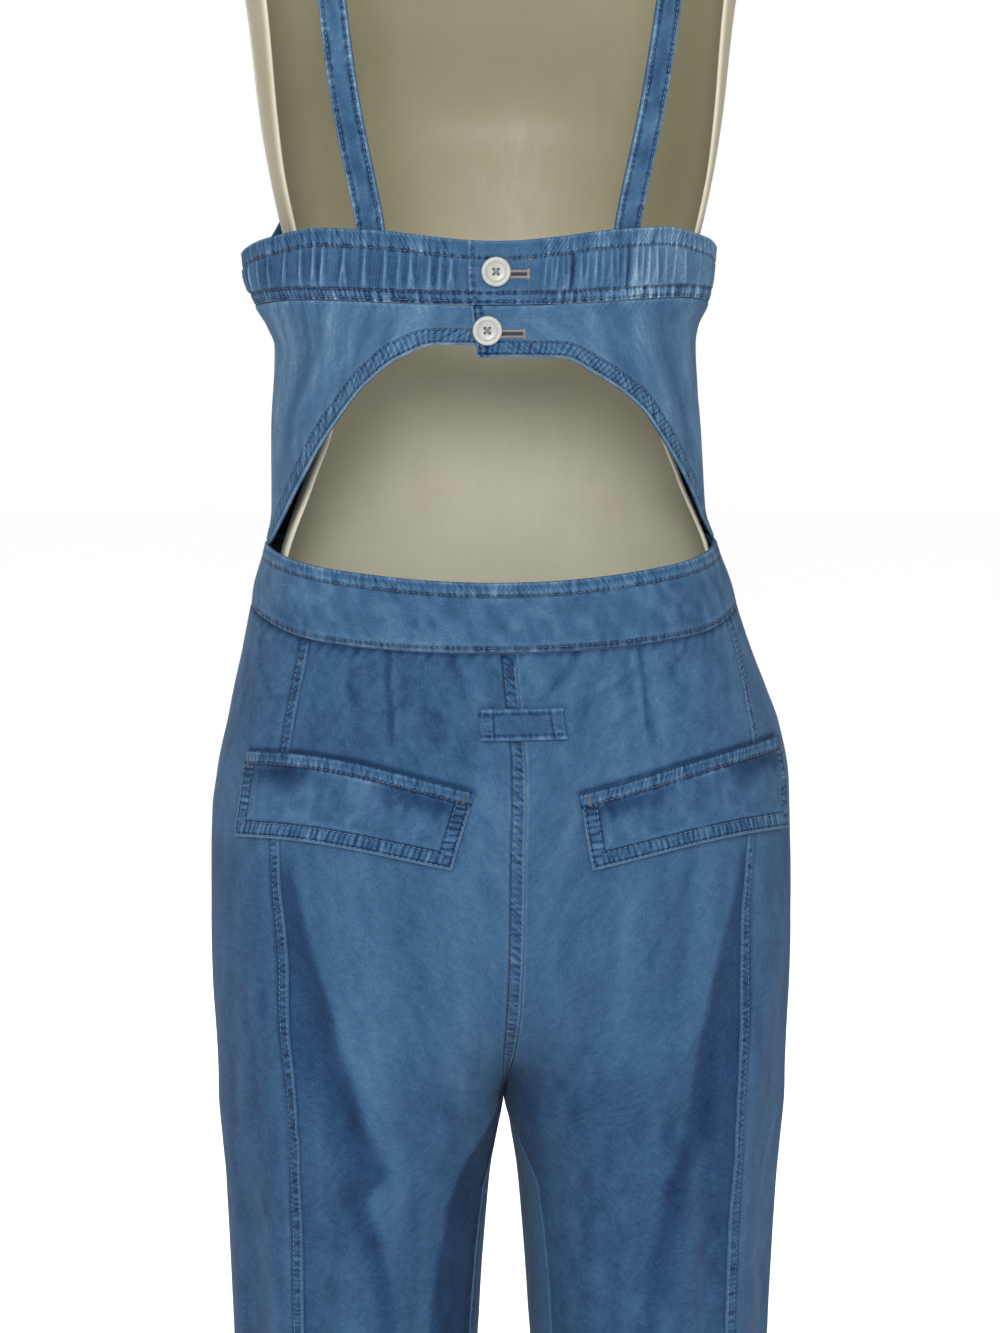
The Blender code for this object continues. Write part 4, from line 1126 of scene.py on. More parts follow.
# Folds of the bodice: start degrees and height, end degrees and height, half width in metres, rise
BODICE_FOLDS = {
    1: [
        (43.0, 1.244, 60.0, 1.190, 0.0075, 1.6), (31.6, 1.246, 43.5, 1.203, 0.0065, -1.7),
        (20.0, 1.248, 26.0, 1.224, 0.0060, 0.9), (56.0, 1.242, 74.0, 1.150, 0.0090, -1.3),
        (70.0, 1.240, 84.0, 1.130, 0.0100, 1.4), (13.0, 1.248, 16.0, 1.228, 0.0050, -0.8),
    ],
    -1: [
        (20.0, 1.248, 27.0, 1.214, 0.0060, 1.2), (29.0, 1.247, 38.0, 1.200, 0.0070, -1.2),
        (38.0, 1.246, 50.0, 1.185, 0.0080, 1.5), (48.0, 1.244, 63.0, 1.160, 0.0090, -1.4),
        (60.0, 1.243, 76.0, 1.140, 0.0100, 1.3), (76.0, 1.240, 88.0, 1.120, 0.0090, -1.0),
    ],
}
HEM_STRIP = 0.0092
METRES_PER_DEGREE = 0.0022


def back_bodice(node, side, arch):
    """Half of the back under the casing, cut away in an arch above the waistband."""
    def surface(across, up):
        angle = between(*BACK_ENDS[side], across)
        top = edge_height(BAND_BOTTOM, angle) - SEAM_GAP / 2
        low = np.maximum(arch.at(np.degrees(side * angle)).height, edge_height(WAIST_TOP, angle) + SEAM_GAP)
        return garment_face(angle, between(low, top, up), lap_lift(side, angle))

    cloth = Cloth(node, 260, 84, surface, WALL)
    low, top = cloth.from_bottom, cloth.from_top
    degrees = np.degrees(side * between(*BACK_ENDS[side], cloth.across))
    for first, first_height, last, last_height, half, rise in BODICE_FOLDS[side]:
        down = (first_height - cloth.height) / (first_height - last_height)
        centre = between(first, last, np.clip(down, -0.3, 1.3))
        fade = smoothstep(down, -0.35, 0.15) * smoothstep(1.35 - down, 0.0, 0.45)
        off = (degrees - centre) / (half / METRES_PER_DEGREE)
        # Painted light on each raised fold and painted shade beside it, by the sign of its rise
        cloth.mark(fade * bell(off, 1.1), 0.65 * rise, tone=0.25 * np.sign(rise))
        cloth.mark(fade * bell(off - 1.4, 1.1), tone=-0.22 * np.sign(rise))
    gathers = ripples(cloth.from_start, 4.2 * MM, 51 + side, top, 0.25 * side)
    cloth.mark(smoothstep(degrees, 8.0, 13.0) * gathers * line(top, 0, 7), 0.10)
    cloth.mark(value_noise(cloth.from_start * 160 + low * 60, low * 70, 67 + side), tone=0.35)
    cloth.cloud(90, 60, 61 + side, 0.18)
    arch_run = cloth.from_start[:1]
    climb = np.clip(np.gradient(cloth.height[:1], axis=1) / np.gradient(arch_run, axis=1), -0.9, 0.9)
    square = np.sqrt(1 - climb**2)
    hem_relief(cloth, low * square, arch_run + low * climb, 71 + side, HEM_STRIP)
    cloth.mark(line(top, 0.8, 0.9), worn=0.4)
    cloth.tone += 0.36 if side > 0 else 0.26
    if side < 0:
        hem_relief(cloth, cloth.from_end, low, 75, 6.0 * MM, 5.0, 0.12, 0.3, layer="rungs")
    cloth.shape(0.36, 3.5)
    first, last = (0.10, 0.97) if side > 0 else (0.03, 0.955)
    cloth.row("bottom", 2.0 * MM / square[0], first, last, 400, "tan")
    cloth.row("bottom", HEM_STRIP / square[0], first, last - 0.02, 400, "blue")
    if side < 0:
        placket_end(cloth, (0.05, 0.98), (0.10, 0.97), (-4.6, 2.6, 1.2335, "buttonhole_lower"))
    piece = cloth.make(DENIM_TOP, "denim_top")
    cloth.area()


def front_bodice():
    """The whole front above the waistband, up to the neckline and the armholes."""
    start = SIDE_SEAM + HALF_SEAM_ANGLE

    def surface(across, up):
        angle = between(start, 2 * PI - start, across)
        mirrored = np.minimum(angle, 2 * PI - angle)
        low = edge_height(WAIST_TOP, mirrored) + SEAM_GAP
        return garment_face(angle, between(low, edge_height(FRONT_TOP, mirrored), up))

    cloth = Cloth("bodice_front", 150, 110, surface, WALL)
    around, climb = cloth.from_start, cloth.from_bottom
    middle = np.abs(cloth.across - 0.5) * 2
    pull = value_noise(around * 26 + climb * 9, climb * 14, 81)
    cloth.mark(pull * rising(cloth.edge_distance(), 4, 30), 0.9)
    waves = ripples(around, 26 * MM, 83, climb, 0.6) * smoothstep(middle, 0.2, 0.8)
    cloth.mark(waves * line(climb, 0, 70), 0.5)
    hem_relief(cloth, cloth.from_top, around, 85, HEM_STRIP)
    cloth.mark(line(climb, 0.8, 1.0), worn=0.4)
    cloth.shape(0.36, 4.0)
    for inset in (2.0 * MM, HEM_STRIP):
        cloth.row("top", inset, 0.01, 0.99, 500, "tan")
    piece = cloth.make(DENIM_TOP, "denim_top")
    cloth.area()


WAIST_STRIP = 0.0078
WAIST_LOW_ROW = 3.0 * MM


def waistband(node, start, end, columns, rows):
    """One half of the waistband, between the side seams."""
    def surface(across, up):
        angle = between(start, end, across)
        mirrored = np.minimum(np.abs(angle), 2 * PI - angle)
        low, top = edge_height(WAIST_BOTTOM, mirrored), edge_height(WAIST_TOP, mirrored)
        return garment_face(angle, between(low, top, up))

    cloth = Cloth(node, columns, rows, surface, DOUBLE_WALL)
    low, top = cloth.from_bottom, cloth.from_top
    strip = 1 - smoothstep(top, WAIST_STRIP - 0.5 * MM, WAIST_STRIP + 0.7 * MM)
    rows = bell(top - WAIST_STRIP, 0.8 * MM) + bell(low - WAIST_LOW_ROW, 0.8 * MM)
    cloth.mark(strip, 0.25, worn=0.15, ribs=0.5)
    # Painted shade in the strip's pinches, in the stitch rows' grooves and along a line above the lower edge;
    # the edges are rubbed paler
    cloth.mark(strip * notches(cloth.from_start + 0.35 * top, 3.0, 91, 0.7), -0.30, worn=-0.75)
    cloth.cloud(80, 60, 93, 0.30)
    cloth.cloud(22, 20, 94, 0.30)
    cloth.cloud(30, 40, 96, tone=0.30)
    cloth.cloud(190, 120, 97, tone=0.55)
    cloth.mark(rows, -0.34, worn=-0.9, ribs=0.8)
    cloth.mark(line(top, 0.6, 1.1), 0.25)
    cloth.mark(line(top, 0.6, 0.8), worn=0.45)
    cloth.mark(line(low, 0.6, 0.6), worn=0.2)
    cloth.mark(line(low, 1.6, 0.8), worn=-0.5)
    cloth.mark(line(low, 2.0, 2.5), ribs=0.6)
    cloth.shape(0.30, 3.0)
    cloth.row("top", WAIST_STRIP, 0.004, 0.996, 600, "tan")
    cloth.row("bottom", WAIST_LOW_ROW, 0.004, 0.996, 600, "tan")
    piece = cloth.make(DENIM_LEGS, "denim_legs")


# Where the light back of each thigh ends in the painted shade of a deep fold, by height: left and right share
FOLD_SHADE_EDGE = Table("height left right", [
    (0.580, 0.8740, 0.8740), (0.620, 0.8560, 0.8560), (0.660, 0.8320, 0.8330), (0.690, 0.8080, 0.8100),
    (0.710, 0.7800, 0.7860), (0.723, 0.7830, 0.7560), (0.732, 0.7690, 0.7430), (0.744, 0.7530, 0.7285),
    (0.753, 0.7500, 0.7310), (0.773, 0.7545, 0.7415), (0.796, 0.7600, 0.7560), (0.815, 0.7650, 0.7610),
    (0.830, 0.7675, 0.7640), (0.847, 0.7640, 0.7620), (0.860, 0.7580, 0.7590), (0.884, 0.7500, 0.7500),
    (0.896, 0.7470, 0.7440), (0.910, 0.7420, 0.7400),
])
# Where the inside of the left thigh turns into shade, by height
INNER_SHADE = Table("height share", [
    (0.560, 0.913), (0.640, 0.914), (0.680, 0.918), (0.700, 0.911), (0.718, 0.902),
    (0.730, 0.905), (0.740, 0.918), (0.743, 0.926), (0.752, 0.960), (0.762, 1.010),
])
# The pressed hip dart runs between two heights and two shares round the leg
DART_TOP, DART_END = 1.045, 0.985
DART_TOP_SHARE, DART_END_SHARE = 0.853, 0.863
# Metres to one whole share across the back of a thigh, and across the hips
THIGH_REACH, HIP_REACH = 0.50, 0.55
LEG_ROW = 22 * MM


def leg_panel(name, side, columns, rows, dense, first_edge, last_edge, seed):
    """One panel of a leg between two edges, each the share round the leg at a height."""
    low_rows, high_rows = rows
    levels = np.concatenate([
        np.linspace(HEM, SHOWN_FROM, low_rows, endpoint=False),
        np.linspace(SHOWN_FROM, LEG_TOP, high_rows + 1),
    ])

    def share_at(across, level):
        return between(first_edge(level), last_edge(level), dense_ends(across, *dense))

    def level_at(up):
        return np.interp(up, np.linspace(0, 1, len(levels)), levels)

    def surface(across, up):
        level = level_at(up)
        share = share_at(across, level)
        top = edge_height(WAIST_BOTTOM, PI * (1 - share)) - SEAM_GAP
        height = level + (top - LEG_TOP) * smoothstep(level, LEG_TOP - WAIST_FOLLOW, LEG_TOP)
        return leg_face(side, share, height, 0.0 * height)

    cloth = Cloth(f"{name}_{SIDE_WORDS[side]}", columns, len(levels) - 1, surface, WALL)
    share = share_at(cloth.across, level_at(cloth.up))
    leg_common(cloth, share, seed + side, side)
    return cloth, share


def leg_common(cloth, share, seed, side):
    """Creases over the hips, pinches under the waistband, soft wash streaks, and a turned hem."""
    around, climb, top = cloth.from_start, cloth.from_bottom, cloth.from_top
    hips = smoothstep(cloth.height, 0.90, 0.97)
    crease = value_noise(around * 34 + side * climb * 22, climb * 46 - side * around * 18, seed + 6)
    cloth.mark(hips * np.abs(crease) ** 0.7 * line(top, 22, 26), 0.55)
    cloth.mark(smoothstep(cloth.height, 0.955, 0.985), tone=-0.50 if side > 0 else -0.10)
    flap_shade(cloth, FLAPS[side], share)
    cloth.cloud(120, 90, seed + 7, mask=hips, tone=0.18)
    cloth.cloud(260, 200, seed + 8, mask=hips, tone=0.20)
    pinch = notches(around + 0.5 * side * top, 8.5, seed, 2.2)
    cloth.mark(pinch * line(top, 0, 7), -0.30)
    # Painted shade in the pinches and along the line just under the waistband
    cloth.mark(pinch * line(top, 0, 6), tone=-0.5)
    cloth.mark(line(top, 0, 2.2), tone=-0.9)
    cloth.cloud(30, 9, seed + 1, 0.35)
    cloth.cloud(110, 60, seed + 2, 0.12)
    cloth.cloud(38, 6, seed + 3, tone=0.26)
    cloth.cloud(90, 20, seed + 4, tone=0.18)
    turned = 1 - rising(climb, 18, 26)
    cloth.mark(turned * ripples(around, 12 * MM, seed + 5), 0.25)
    cloth.mark(turned, ribs=0.6)
    cloth.mark(bell(climb - LEG_ROW, 2.2 * MM), -0.35)
    # Painted shade in the hem row's groove; the lower edge is rubbed paler
    cloth.mark(bell(climb - LEG_ROW, 1.8 * MM), worn=-0.8)
    cloth.mark(line(climb, 0.8, 2.0), worn=0.8)


def flap_shade(cloth, flap, share):
    """A painted shadow: the darker line just above a flap's top edge."""
    (inner, inner_height), (outer, outer_height) = flap.inner_top, flap.outer_top
    along = (180 * (1 - share) - inner) / (outer - inner)
    top = between(inner_height, outer_height, along) + flap.top_bow * np.sin(PI * np.clip(along, 0, 1))
    within = smoothstep(along, -0.02, 0.02) * smoothstep(1.02 - along, 0.0, 0.04)
    cloth.mark(within * line(cloth.height - top, 1.2, 1.7), tone=-1.4)


def princess_edge(side, shift):
    """The seam between a leg's back and side panel, moved by a share, as a function of height."""
    column = "left_share" if side > 0 else "right_share"
    return lambda height: getattr(PRINCESS.at(height), column) + shift


def fixed_edge(value):
    return lambda height: value + 0 * height


def back_panel(side):
    cloth, share = leg_panel(
        "leg_back", side, 84, (150, 330), (0.065, 0.19),
        princess_edge(side, HALF_SEAM_SHARE), fixed_edge(1.0), 110,
    )
    height = cloth.height
    deep = FOLD_SHADE_EDGE.at(height)
    past = ((deep.left if side > 0 else deep.right) - share) * THIGH_REACH
    fade = smoothstep(0.930 - height, 0.0, 0.03) * smoothstep(height, 0.56, 0.72)
    inside = rising(past, -5, 5) * fade
    far = 1 - rising(past, 6, 24)
    low = smoothstep(0.80 - height, 0.0, 0.05)
    # Painted shade of a deep fold past that line; the relief has no fold there
    cloth.mark(inside * (between(1.35, 1.6, far) - 0.45 * low * (1 - far) + 0.3 * low * far), tone=-1.0)
    # Painted shade: the rest of the leg darker towards the bottom
    cloth.mark((1 - inside) * smoothstep(0.81 - height, 0.0, 0.06), tone=-0.45)
    # Painted shade along the seam edge
    cloth.mark(line(cloth.from_start, 0, 1.2), tone=-0.5)
    down = smoothstep(DART_TOP - height, 0.0, DART_TOP - DART_END)
    dart = (share - between(DART_TOP_SHARE, DART_END_SHARE, down)) * HIP_REACH
    dart_reach = smoothstep(height, DART_END - 5 * MM, DART_END + 15 * MM)
    cloth.mark(dart_reach * (line(dart, 2.4, 2.8) - line(dart, -1.5, 2.6)), 0.20)
    # Painted shade beside the dart's ridge
    cloth.mark(dart_reach * line(dart, -1.0, 2.6), tone=-0.35)
    if side > 0:
        shaded = smoothstep(share - INNER_SHADE.at(height).share, -0.006, 0.010)
        fade = smoothstep(height, 0.50, 0.62) * smoothstep(0.762 - height, 0.0, 0.008)
        cloth.mark(shaded * fade, tone=-1.5)
        seam_ridge(cloth, "end", 0.7, 123, 8.0, 0.25, 0.30)
    else:
        cloth.mark((1 - inside) * smoothstep(0.93 - height, 0.0, 0.02), tone=-0.35)
        cloth.mark(line(cloth.from_end, 0, 1.5), 0.15)
        cloth.mark(line(cloth.from_end, 0, 1.2), worn=0.5)
    cloth.shape(0.34, 5.0, 0.12)
    if side > 0:
        cloth.row("end", 1.6 * MM, 0.39, 0.985, 800, "blue")
        cloth.row("end", 7.6 * MM, 0.39, 0.985, 800, "tan")
    return cloth


def outer_rows(cloth, insets):
    """The two stitch rows beside a panel's last edge; insets in millimetres."""
    for inset in insets:
        cloth.row("end", inset * MM, 0.02, 0.985, 1400, "blue")
    return cloth


def side_panel(side):
    cloth, _ = leg_panel(
        "leg_side", side, 44, (150, 330), (0.060, 0.23),
        fixed_edge(LEG_SIDE_SEAM + HALF_SEAM_SHARE), princess_edge(side, -HALF_SEAM_SHARE), 130,
    )
    # Painted shade: the side panel darker below the hips, where it turns away from the light
    cloth.mark(smoothstep(0.93 - cloth.height, 0.0, 0.02), tone=-0.55)
    seam_ridge(cloth, "end", 0.5, 133 + side, 5.6)
    cloth.shape(0.34, 5.0)
    return outer_rows(cloth, (1.6, 6.0))


def front_panel(side):
    cloth, _ = leg_panel(
        "leg_front", side, 56, (110, 170), (0.050, 0.20),
        fixed_edge(HALF_SEAM_SHARE), fixed_edge(LEG_SIDE_SEAM - HALF_SEAM_SHARE), 150,
    )
    seam_ridge(cloth, "end", 0.4, 153 + side, 5.0)
    if side > 0:
        seam_ridge(cloth, "start", 0.4, 155, 7.0)
    cloth.shape(0.34, 5.0)
    return outer_rows(cloth, (1.6, 5.4))


# Each leg panel: how it is made, the width it is cut to, and what it hangs from
LEG_PANELS = [
    (back_panel, 0.215, "waistband_back_cloth"),
    (side_panel, 0.150, "waistband_back_cloth"),
    (front_panel, 0.290, "waistband_front_cloth"),
]


def legs():
    for side in SIDE_WORDS:
        for make, width, hangs_from in LEG_PANELS:
            cloth = make(side)
            cloth.row("bottom", LEG_ROW, 0.01, 0.99, 300, "tan")
            piece = cloth.make(DENIM_LEGS, "denim_legs")
            cloth.area()


# How far the drawn flaps and tab stand above the part's, so that they clear the legs' relief
LAID_RISE = {"flap": 0.4 * MM, "tab": 0.3 * MM}
FLAP_STRIP = 0.0072
FLAP_HEM = 0.0095
FLAP_MIDDLE_ROW = 30
FLAP_END_HEIGHT = 0.05


def pocket_flap(side, flap):
    """A pocket flap lying on the leg panels, a little proud along its lower edge."""
    def surface(across, up):
        bow = np.sin(PI * across)
        top_degrees, top = (between(*ends, across) for ends in zip(flap.inner_top, flap.outer_top))
        low_degrees, low = (between(*ends, across) for ends in zip(flap.inner_bottom, flap.outer_bottom))
        height = between(low + FLAP_BOTTOM_BOW * bow, top + flap.top_bow * bow, up)
        share = 1 - between(low_degrees, top_degrees, up) / 180
        lift = LAID_CLEARANCE + FLAP_STAND_OFF * (1 - up) ** 2
        return leg_face(side, share, height, lift + WALL + LAID_RISE["flap"])

    cloth = Cloth(flap.node, 250, 76, surface, WALL)
    top, low, ends, start = cloth.from_top, cloth.from_bottom, cloth.ends, cloth.from_start
    below_row = smoothstep(top, FLAP_STRIP, FLAP_STRIP + 1.5 * MM)
    lower = rising(ends - low, -0.5, 0.5)
    strip = 1 - smoothstep(top, FLAP_STRIP - 0.5 * MM, FLAP_STRIP + 0.7 * MM)
    middle = smoothstep(np.minimum(ends, low), FLAP_HEM, FLAP_HEM + 6 * MM) * below_row
    patch = bell(top - FLAP_STRIP - 4 * MM, 8 * MM) * below_row
    hem_relief(cloth, low, start, 171 + side, FLAP_HEM, 3.6, 0.20, 0.1, below_row * lower)
    hem_relief(cloth, ends, low, 177 + side, FLAP_HEM, 4.2, 0.22, 0.1, below_row * (1 - lower), "rungs")
    cloth.mark(strip, 0.14, worn=-0.15, ribs=0.6)
    # Painted shade in the strip's pinches and the stitch row's groove, and a painted shadow line along the
    # top edge
    cloth.mark(strip * notches(start + 0.5 * top, 3.2, 173 + side, 0.7), -0.22, worn=-0.5)
    cloth.mark(bell(top - FLAP_STRIP, 0.9 * MM), -0.38)
    cloth.mark(bell(top - FLAP_STRIP - 0.3 * MM, 0.9 * MM), worn=-1.3)
    cloth.mark(bell(top - FLAP_STRIP - 0.5 * MM, 1.4 * MM), ribs=0.9)
    cloth.mark(line(top, 0, 0.5), worn=-0.9)
    cloth.mark(line(top, 1.0, 1.0), 0.12)
    cloth.mark(line(top, 1.2, 0.7), worn=0.2)
    cloth.mark(patch * (line(start, 26, 26) + line(cloth.from_end, 28, 30)), tone=-1.7)
    cloth.cloud(45, 45, 175 + side, 0.8, middle)
    cloth.cloud(60, 30, 179, mask=middle, tone=0.45)
    cloth.cloud(220, 130, 180, mask=middle, tone=0.45)
    cloth.shape(0.30, 2.6)
    cloth.row("top", FLAP_STRIP, 0.02, 0.98, 300, "tan")
    for inset in (1.7 * MM, FLAP_HEM - 0.4 * MM):
        across_inset = inset / float(start[FLAP_MIDDLE_ROW, -1])
        cloth.row("bottom", inset, across_inset, 1 - across_inset, 300, "blue")
        for edge in ("start", "end"):
            cloth.row(edge, inset, inset / FLAP_END_HEIGHT, 0.86, 120, "blue")
    for share in (0.028, 0.972):
        cloth.bars(np.full(12, share), np.linspace(0.83, 0.97, 12), 1.7, "tan", 0.55, 0.24, 0.10)
    piece = cloth.make(DENIM_TRIM, "denim_trim")


def back_tab():
    """The short loop of cloth across the centre back seam."""
    def surface(across, up):
        angle = between(-TAB_HALF_ANGLE, TAB_HALF_ANGLE, across)
        height = TAB_HEIGHT + between(-TAB_HALF_HEIGHT, TAB_HALF_HEIGHT, up)
        lift = LAID_CLEARANCE + TAB_BRIDGE * np.sin(PI * across) + WALL + LAID_RISE["tab"]
        return garment_face(angle, height, lift)

    cloth = Cloth("back_tab", 90, 34, surface, WALL)
    rims, ends = np.minimum(cloth.from_top, cloth.from_bottom), cloth.ends
    cloth.mark(line(rims, 1.2, 1.6), 0.30)
    cloth.mark(line(rims, 3.2, 1.0), -0.15)
    cloth.mark(line(ends, 8.5, 1.1), -0.20)
    # Painted shade in the stitch grooves; the rims are rubbed paler
    cloth.mark(line(rims, 3.2, 0.8), worn=-0.3)
    cloth.mark(line(ends, 8.5, 0.9), worn=-0.4)
    cloth.mark(line(rims, 2.0, 2.0), ribs=0.6)
    cloth.mark(line(ends, 5.0, 4.0), rungs=0.6)
    cloth.mark(line(rims, 0.9, 1.0), worn=0.30)
    cloth.cloud(120, 90, 181, 0.25)
    cloth.tone -= 0.40
    cloth.shape(0.30, 2.4)
    for edge in ("start", "end"):
        for inset in (2.0 * MM, 7.2 * MM):
            cloth.row(edge, inset, 0.08, 0.92, 40, "blue")
    piece = cloth.make(DENIM_TRIM, "denim_trim")


def strap_path(side):
    """A strap's middle line from the casing to inside the neckline, and its outward directions."""
    def on_form(degrees, height):
        angle, height = np.array(side * math.radians(degrees)), np.array(height)
        normal = outward_normal(torso_point, angle, height)
        return torso_point(angle, height) + normal * (STRAP_LIFT + STRAP_WALL / 2), normal

    shoulder = on_form(*STRAP_FRONT[0])[1]
    points, normals = [], []
    for out, height in STRAP_CASING:
        ring = GARMENT.at(height)
        across = (STRAP_BACK_CENTRE_X + side * out - ring.centre_x) / ring.half_width
        angle = np.arcsin(signed_power(across, ring.squareness / 2))
        point, normal = garment_face(angle, np.array(height))
        points.append(point - normal * (DOUBLE_WALL + STRAP_CASING_CLEARANCE + STRAP_WALL / 2))
        normals.append(normal)
    casing = normals[-1]
    for out, y, height in STRAP_BACK:
        climb = float(smoothstep(height, STRAP_CASING[-1][1], STRAP_BACK[-2][2]))
        points.append(np.array((between(STRAP_BACK_CENTRE_X, FORM_CENTRE_X, climb) + side * out, y, height)))
        normals.append(between(casing, shoulder, climb))
    for degrees, height in STRAP_FRONT:
        point, normal = on_form(degrees, height)
        points.append(point)
        normals.append(normal)
    return np.array(points), np.array(normals)


def along_path(path, share):
    """Points on the smooth curve through a path."""
    place = np.minimum(share * (len(path) - 1), len(path) - 1.001)
    i = place.astype(int)
    start, end = path[i], path[i + 1]
    leave = (end - path[np.maximum(i - 1, 0)]) / 2
    arrive = (path[np.minimum(i + 2, len(path) - 1)] - start) / 2
    return hermite(start, end, leave, arrive, (place - i)[..., None])


def strap(node, side):
    points, normals = strap_path(side)

    def surface(across, up):
        point = along_path(points, up)
        near = np.minimum(up, 0.999)
        direction = along_path(points, near + 0.001) - along_path(points, near)
        width = unit(np.cross(direction, along_path(normals, up)))
        normal = unit(np.cross(width, direction))
        sideways = width * (between(-0.5, 0.5, across) * STRAP_WIDTH)[..., None]
        return point + sideways + normal * STRAP_WALL / 2, normal

    cloth = Cloth(node, 18, 300, surface, STRAP_WALL)
    rims = cloth.ends
    waves = ripples(cloth.from_bottom, 3.6 * MM, 191 + side, cloth.from_start, 0.4)
    cloth.mark(line(rims, 0.9, 1.2), 0.28)
    cloth.mark(line(rims, 2.8, 0.8), -0.32)
    cloth.mark(waves * line(rims, 3, 3), 0.22)
    # A pale rubbed rim, and painted shade in the stitch groove
    cloth.mark(line(rims, 0.8, 0.8), worn=0.9)
    cloth.mark(line(rims, 2.7, 0.8), worn=-0.8)
    cloth.mark(line(rims, 2.4, 1.8), rungs=0.8)
    cloth.cloud(90, 70, 193 + side, 0.25)
    cloth.cloud(120, 60, 195 + side, tone=0.45)
    cloth.shape(0.30, 2.4)
    for edge in ("start", "end"):
        cloth.row(edge, 2.6 * MM, 0.01, 0.99, 700, "blue")
    piece = cloth.make(DENIM_TRIM, "denim_trim")


# Meshes for the buttons, the form and the stand


def lathe(profile, sides, closed=False):
    """A turned bmesh about Z from (radius, height) pairs; a closed profile runs back to its start."""
    made = bmesh.new()
    rings = []
    for radius, height in profile:
        turns = [2 * PI * k / sides for k in range(sides)] if radius > 0 else [0.0]
        rings.append([made.verts.new((radius * math.cos(t), radius * math.sin(t), height)) for t in turns])
    for low, high in zip(rings, rings[1:] + (rings[:1] if closed else [])):
        for k in range(sides):
            after = (k + 1) % sides
            corners = [low[k % len(low)], low[after % len(low)], high[after % len(high)], high[k % len(high)]]
            face = list(dict.fromkeys(corners))
            if len(face) > 2:
                made.faces.new(face)
    bmesh.ops.recalc_face_normals(made, faces=made.faces[:])
    return made


def rod(made, start, end, radius, sides=8):
    """Adds a straight rod to a bmesh."""
    along = end - start
    turn = along.to_track_quat("Z", "Y").to_matrix().to_4x4()
    bmesh.ops.create_cone(
        made, cap_ends=True, segments=sides, radius1=radius, radius2=radius, depth=along.length,
        matrix=Matrix.Translation((start + end) / 2) @ turn,
    )


def filled(name, made):
    """A smooth mesh from a bmesh, which is freed."""
    mesh = bpy.data.meshes.new(name)
    made.to_mesh(mesh)
    made.free()
    mesh.polygons.foreach_set("use_smooth", np.ones(len(mesh.polygons), bool))
    return mesh


def facing_out(mesh):
    """The mesh with its faces turned outwards."""
    made = bmesh.new()
    made.from_mesh(mesh)
    bmesh.ops.recalc_face_normals(made, faces=made.faces[:])
    made.to_mesh(mesh)
    made.free()
    return mesh


def steel_piece(name, made, finish, node):
    mesh = filled(name, made)
    mesh.set_sharp_from_angle(angle=math.radians(35))
    add_piece(name, mesh, finish, node)


# Buttons

BUTTON_HOLE_SPREAD = 0.0019
BUTTON_HOLE_RADIUS = 0.0009
SEWING_RADIUS = 0.0003
SEWING_HEIGHT = 0.62 * BUTTON_THICKNESS
SEWING_STEP = 0.00035


def button(node, degrees, height, plastic):
    """A four-hole button with a raised rim, sewn on with crossed thread."""
    point, normal = garment_face(np.array(math.radians(degrees)), np.array(height))
    out = Vector(normal)
    place = Vector(point) + out * (DOUBLE_WALL + LAP_CLEARANCE + LAID_CLEARANCE)
    seat = Matrix.Translation(place) @ out.to_track_quat("Z", "Y").to_matrix().to_4x4()
    profile = [(BUTTON_RADIUS * r, BUTTON_THICKNESS * z) for r, z in BUTTON_PROFILE]
    body = bpy.data.objects.new("button_body", filled("button_body", lathe(profile, 72)))
    cutter = bmesh.new()
    holes = []
    for quarter in range(4):
        around = math.radians(45 + 90 * quarter)
        spot = Vector((math.cos(around), math.sin(around), 0)) * BUTTON_HOLE_SPREAD
        holes.append(spot)
        rod(cutter, spot - Vector((0, 0, 4 * MM)), spot + Vector((0, 0, 6 * MM)), BUTTON_HOLE_RADIUS, 20)
    tool = bpy.data.objects.new("button_holes", filled("button_holes", cutter))
    for item in (body, tool):
        bpy.context.scene.collection.objects.link(item)
    cut = body.modifiers.new("holes", "BOOLEAN")
    cut.operation, cut.object, cut.solver = "DIFFERENCE", tool, "EXACT"
    bpy.context.view_layer.update()
    graph = bpy.context.evaluated_depsgraph_get()
    mesh = bpy.data.meshes.new_from_object(body.evaluated_get(graph))
    for item in (body, tool):
        bpy.data.objects.remove(item)
    mesh.transform(seat)
    mesh.polygons.foreach_set("use_smooth", np.ones(len(mesh.polygons), bool))
    mesh.set_sharp_from_angle(angle=math.radians(38))
    mesh.materials.clear()
    add_piece(f"{node}_resin", mesh, plastic, node)

    made = bmesh.new()
    low, high = Vector((0, 0, -0.5 * MM)), Vector((0, 0, SEWING_HEIGHT))
    for first, last in ((0, 2), (1, 3)):
        beside = (holes[last] - holes[first]).normalized().cross(Vector((0, 0, 1)))
        for shift in (-SEWING_RADIUS, SEWING_RADIUS):
            a, b = holes[first] + beside * shift, holes[last] + beside * shift
            for start, end in ((a + high, b + high), (a + low, a + high), (b + low, b + high)):
                rod(made, start, end, SEWING_RADIUS)
        high = high + Vector((0, 0, SEWING_STEP))
    bmesh.ops.transform(made, matrix=seat, verts=made.verts[:])
    add_piece(f"{node}_sewing", filled(f"{node}_sewing", made), BUTTON_THREAD)


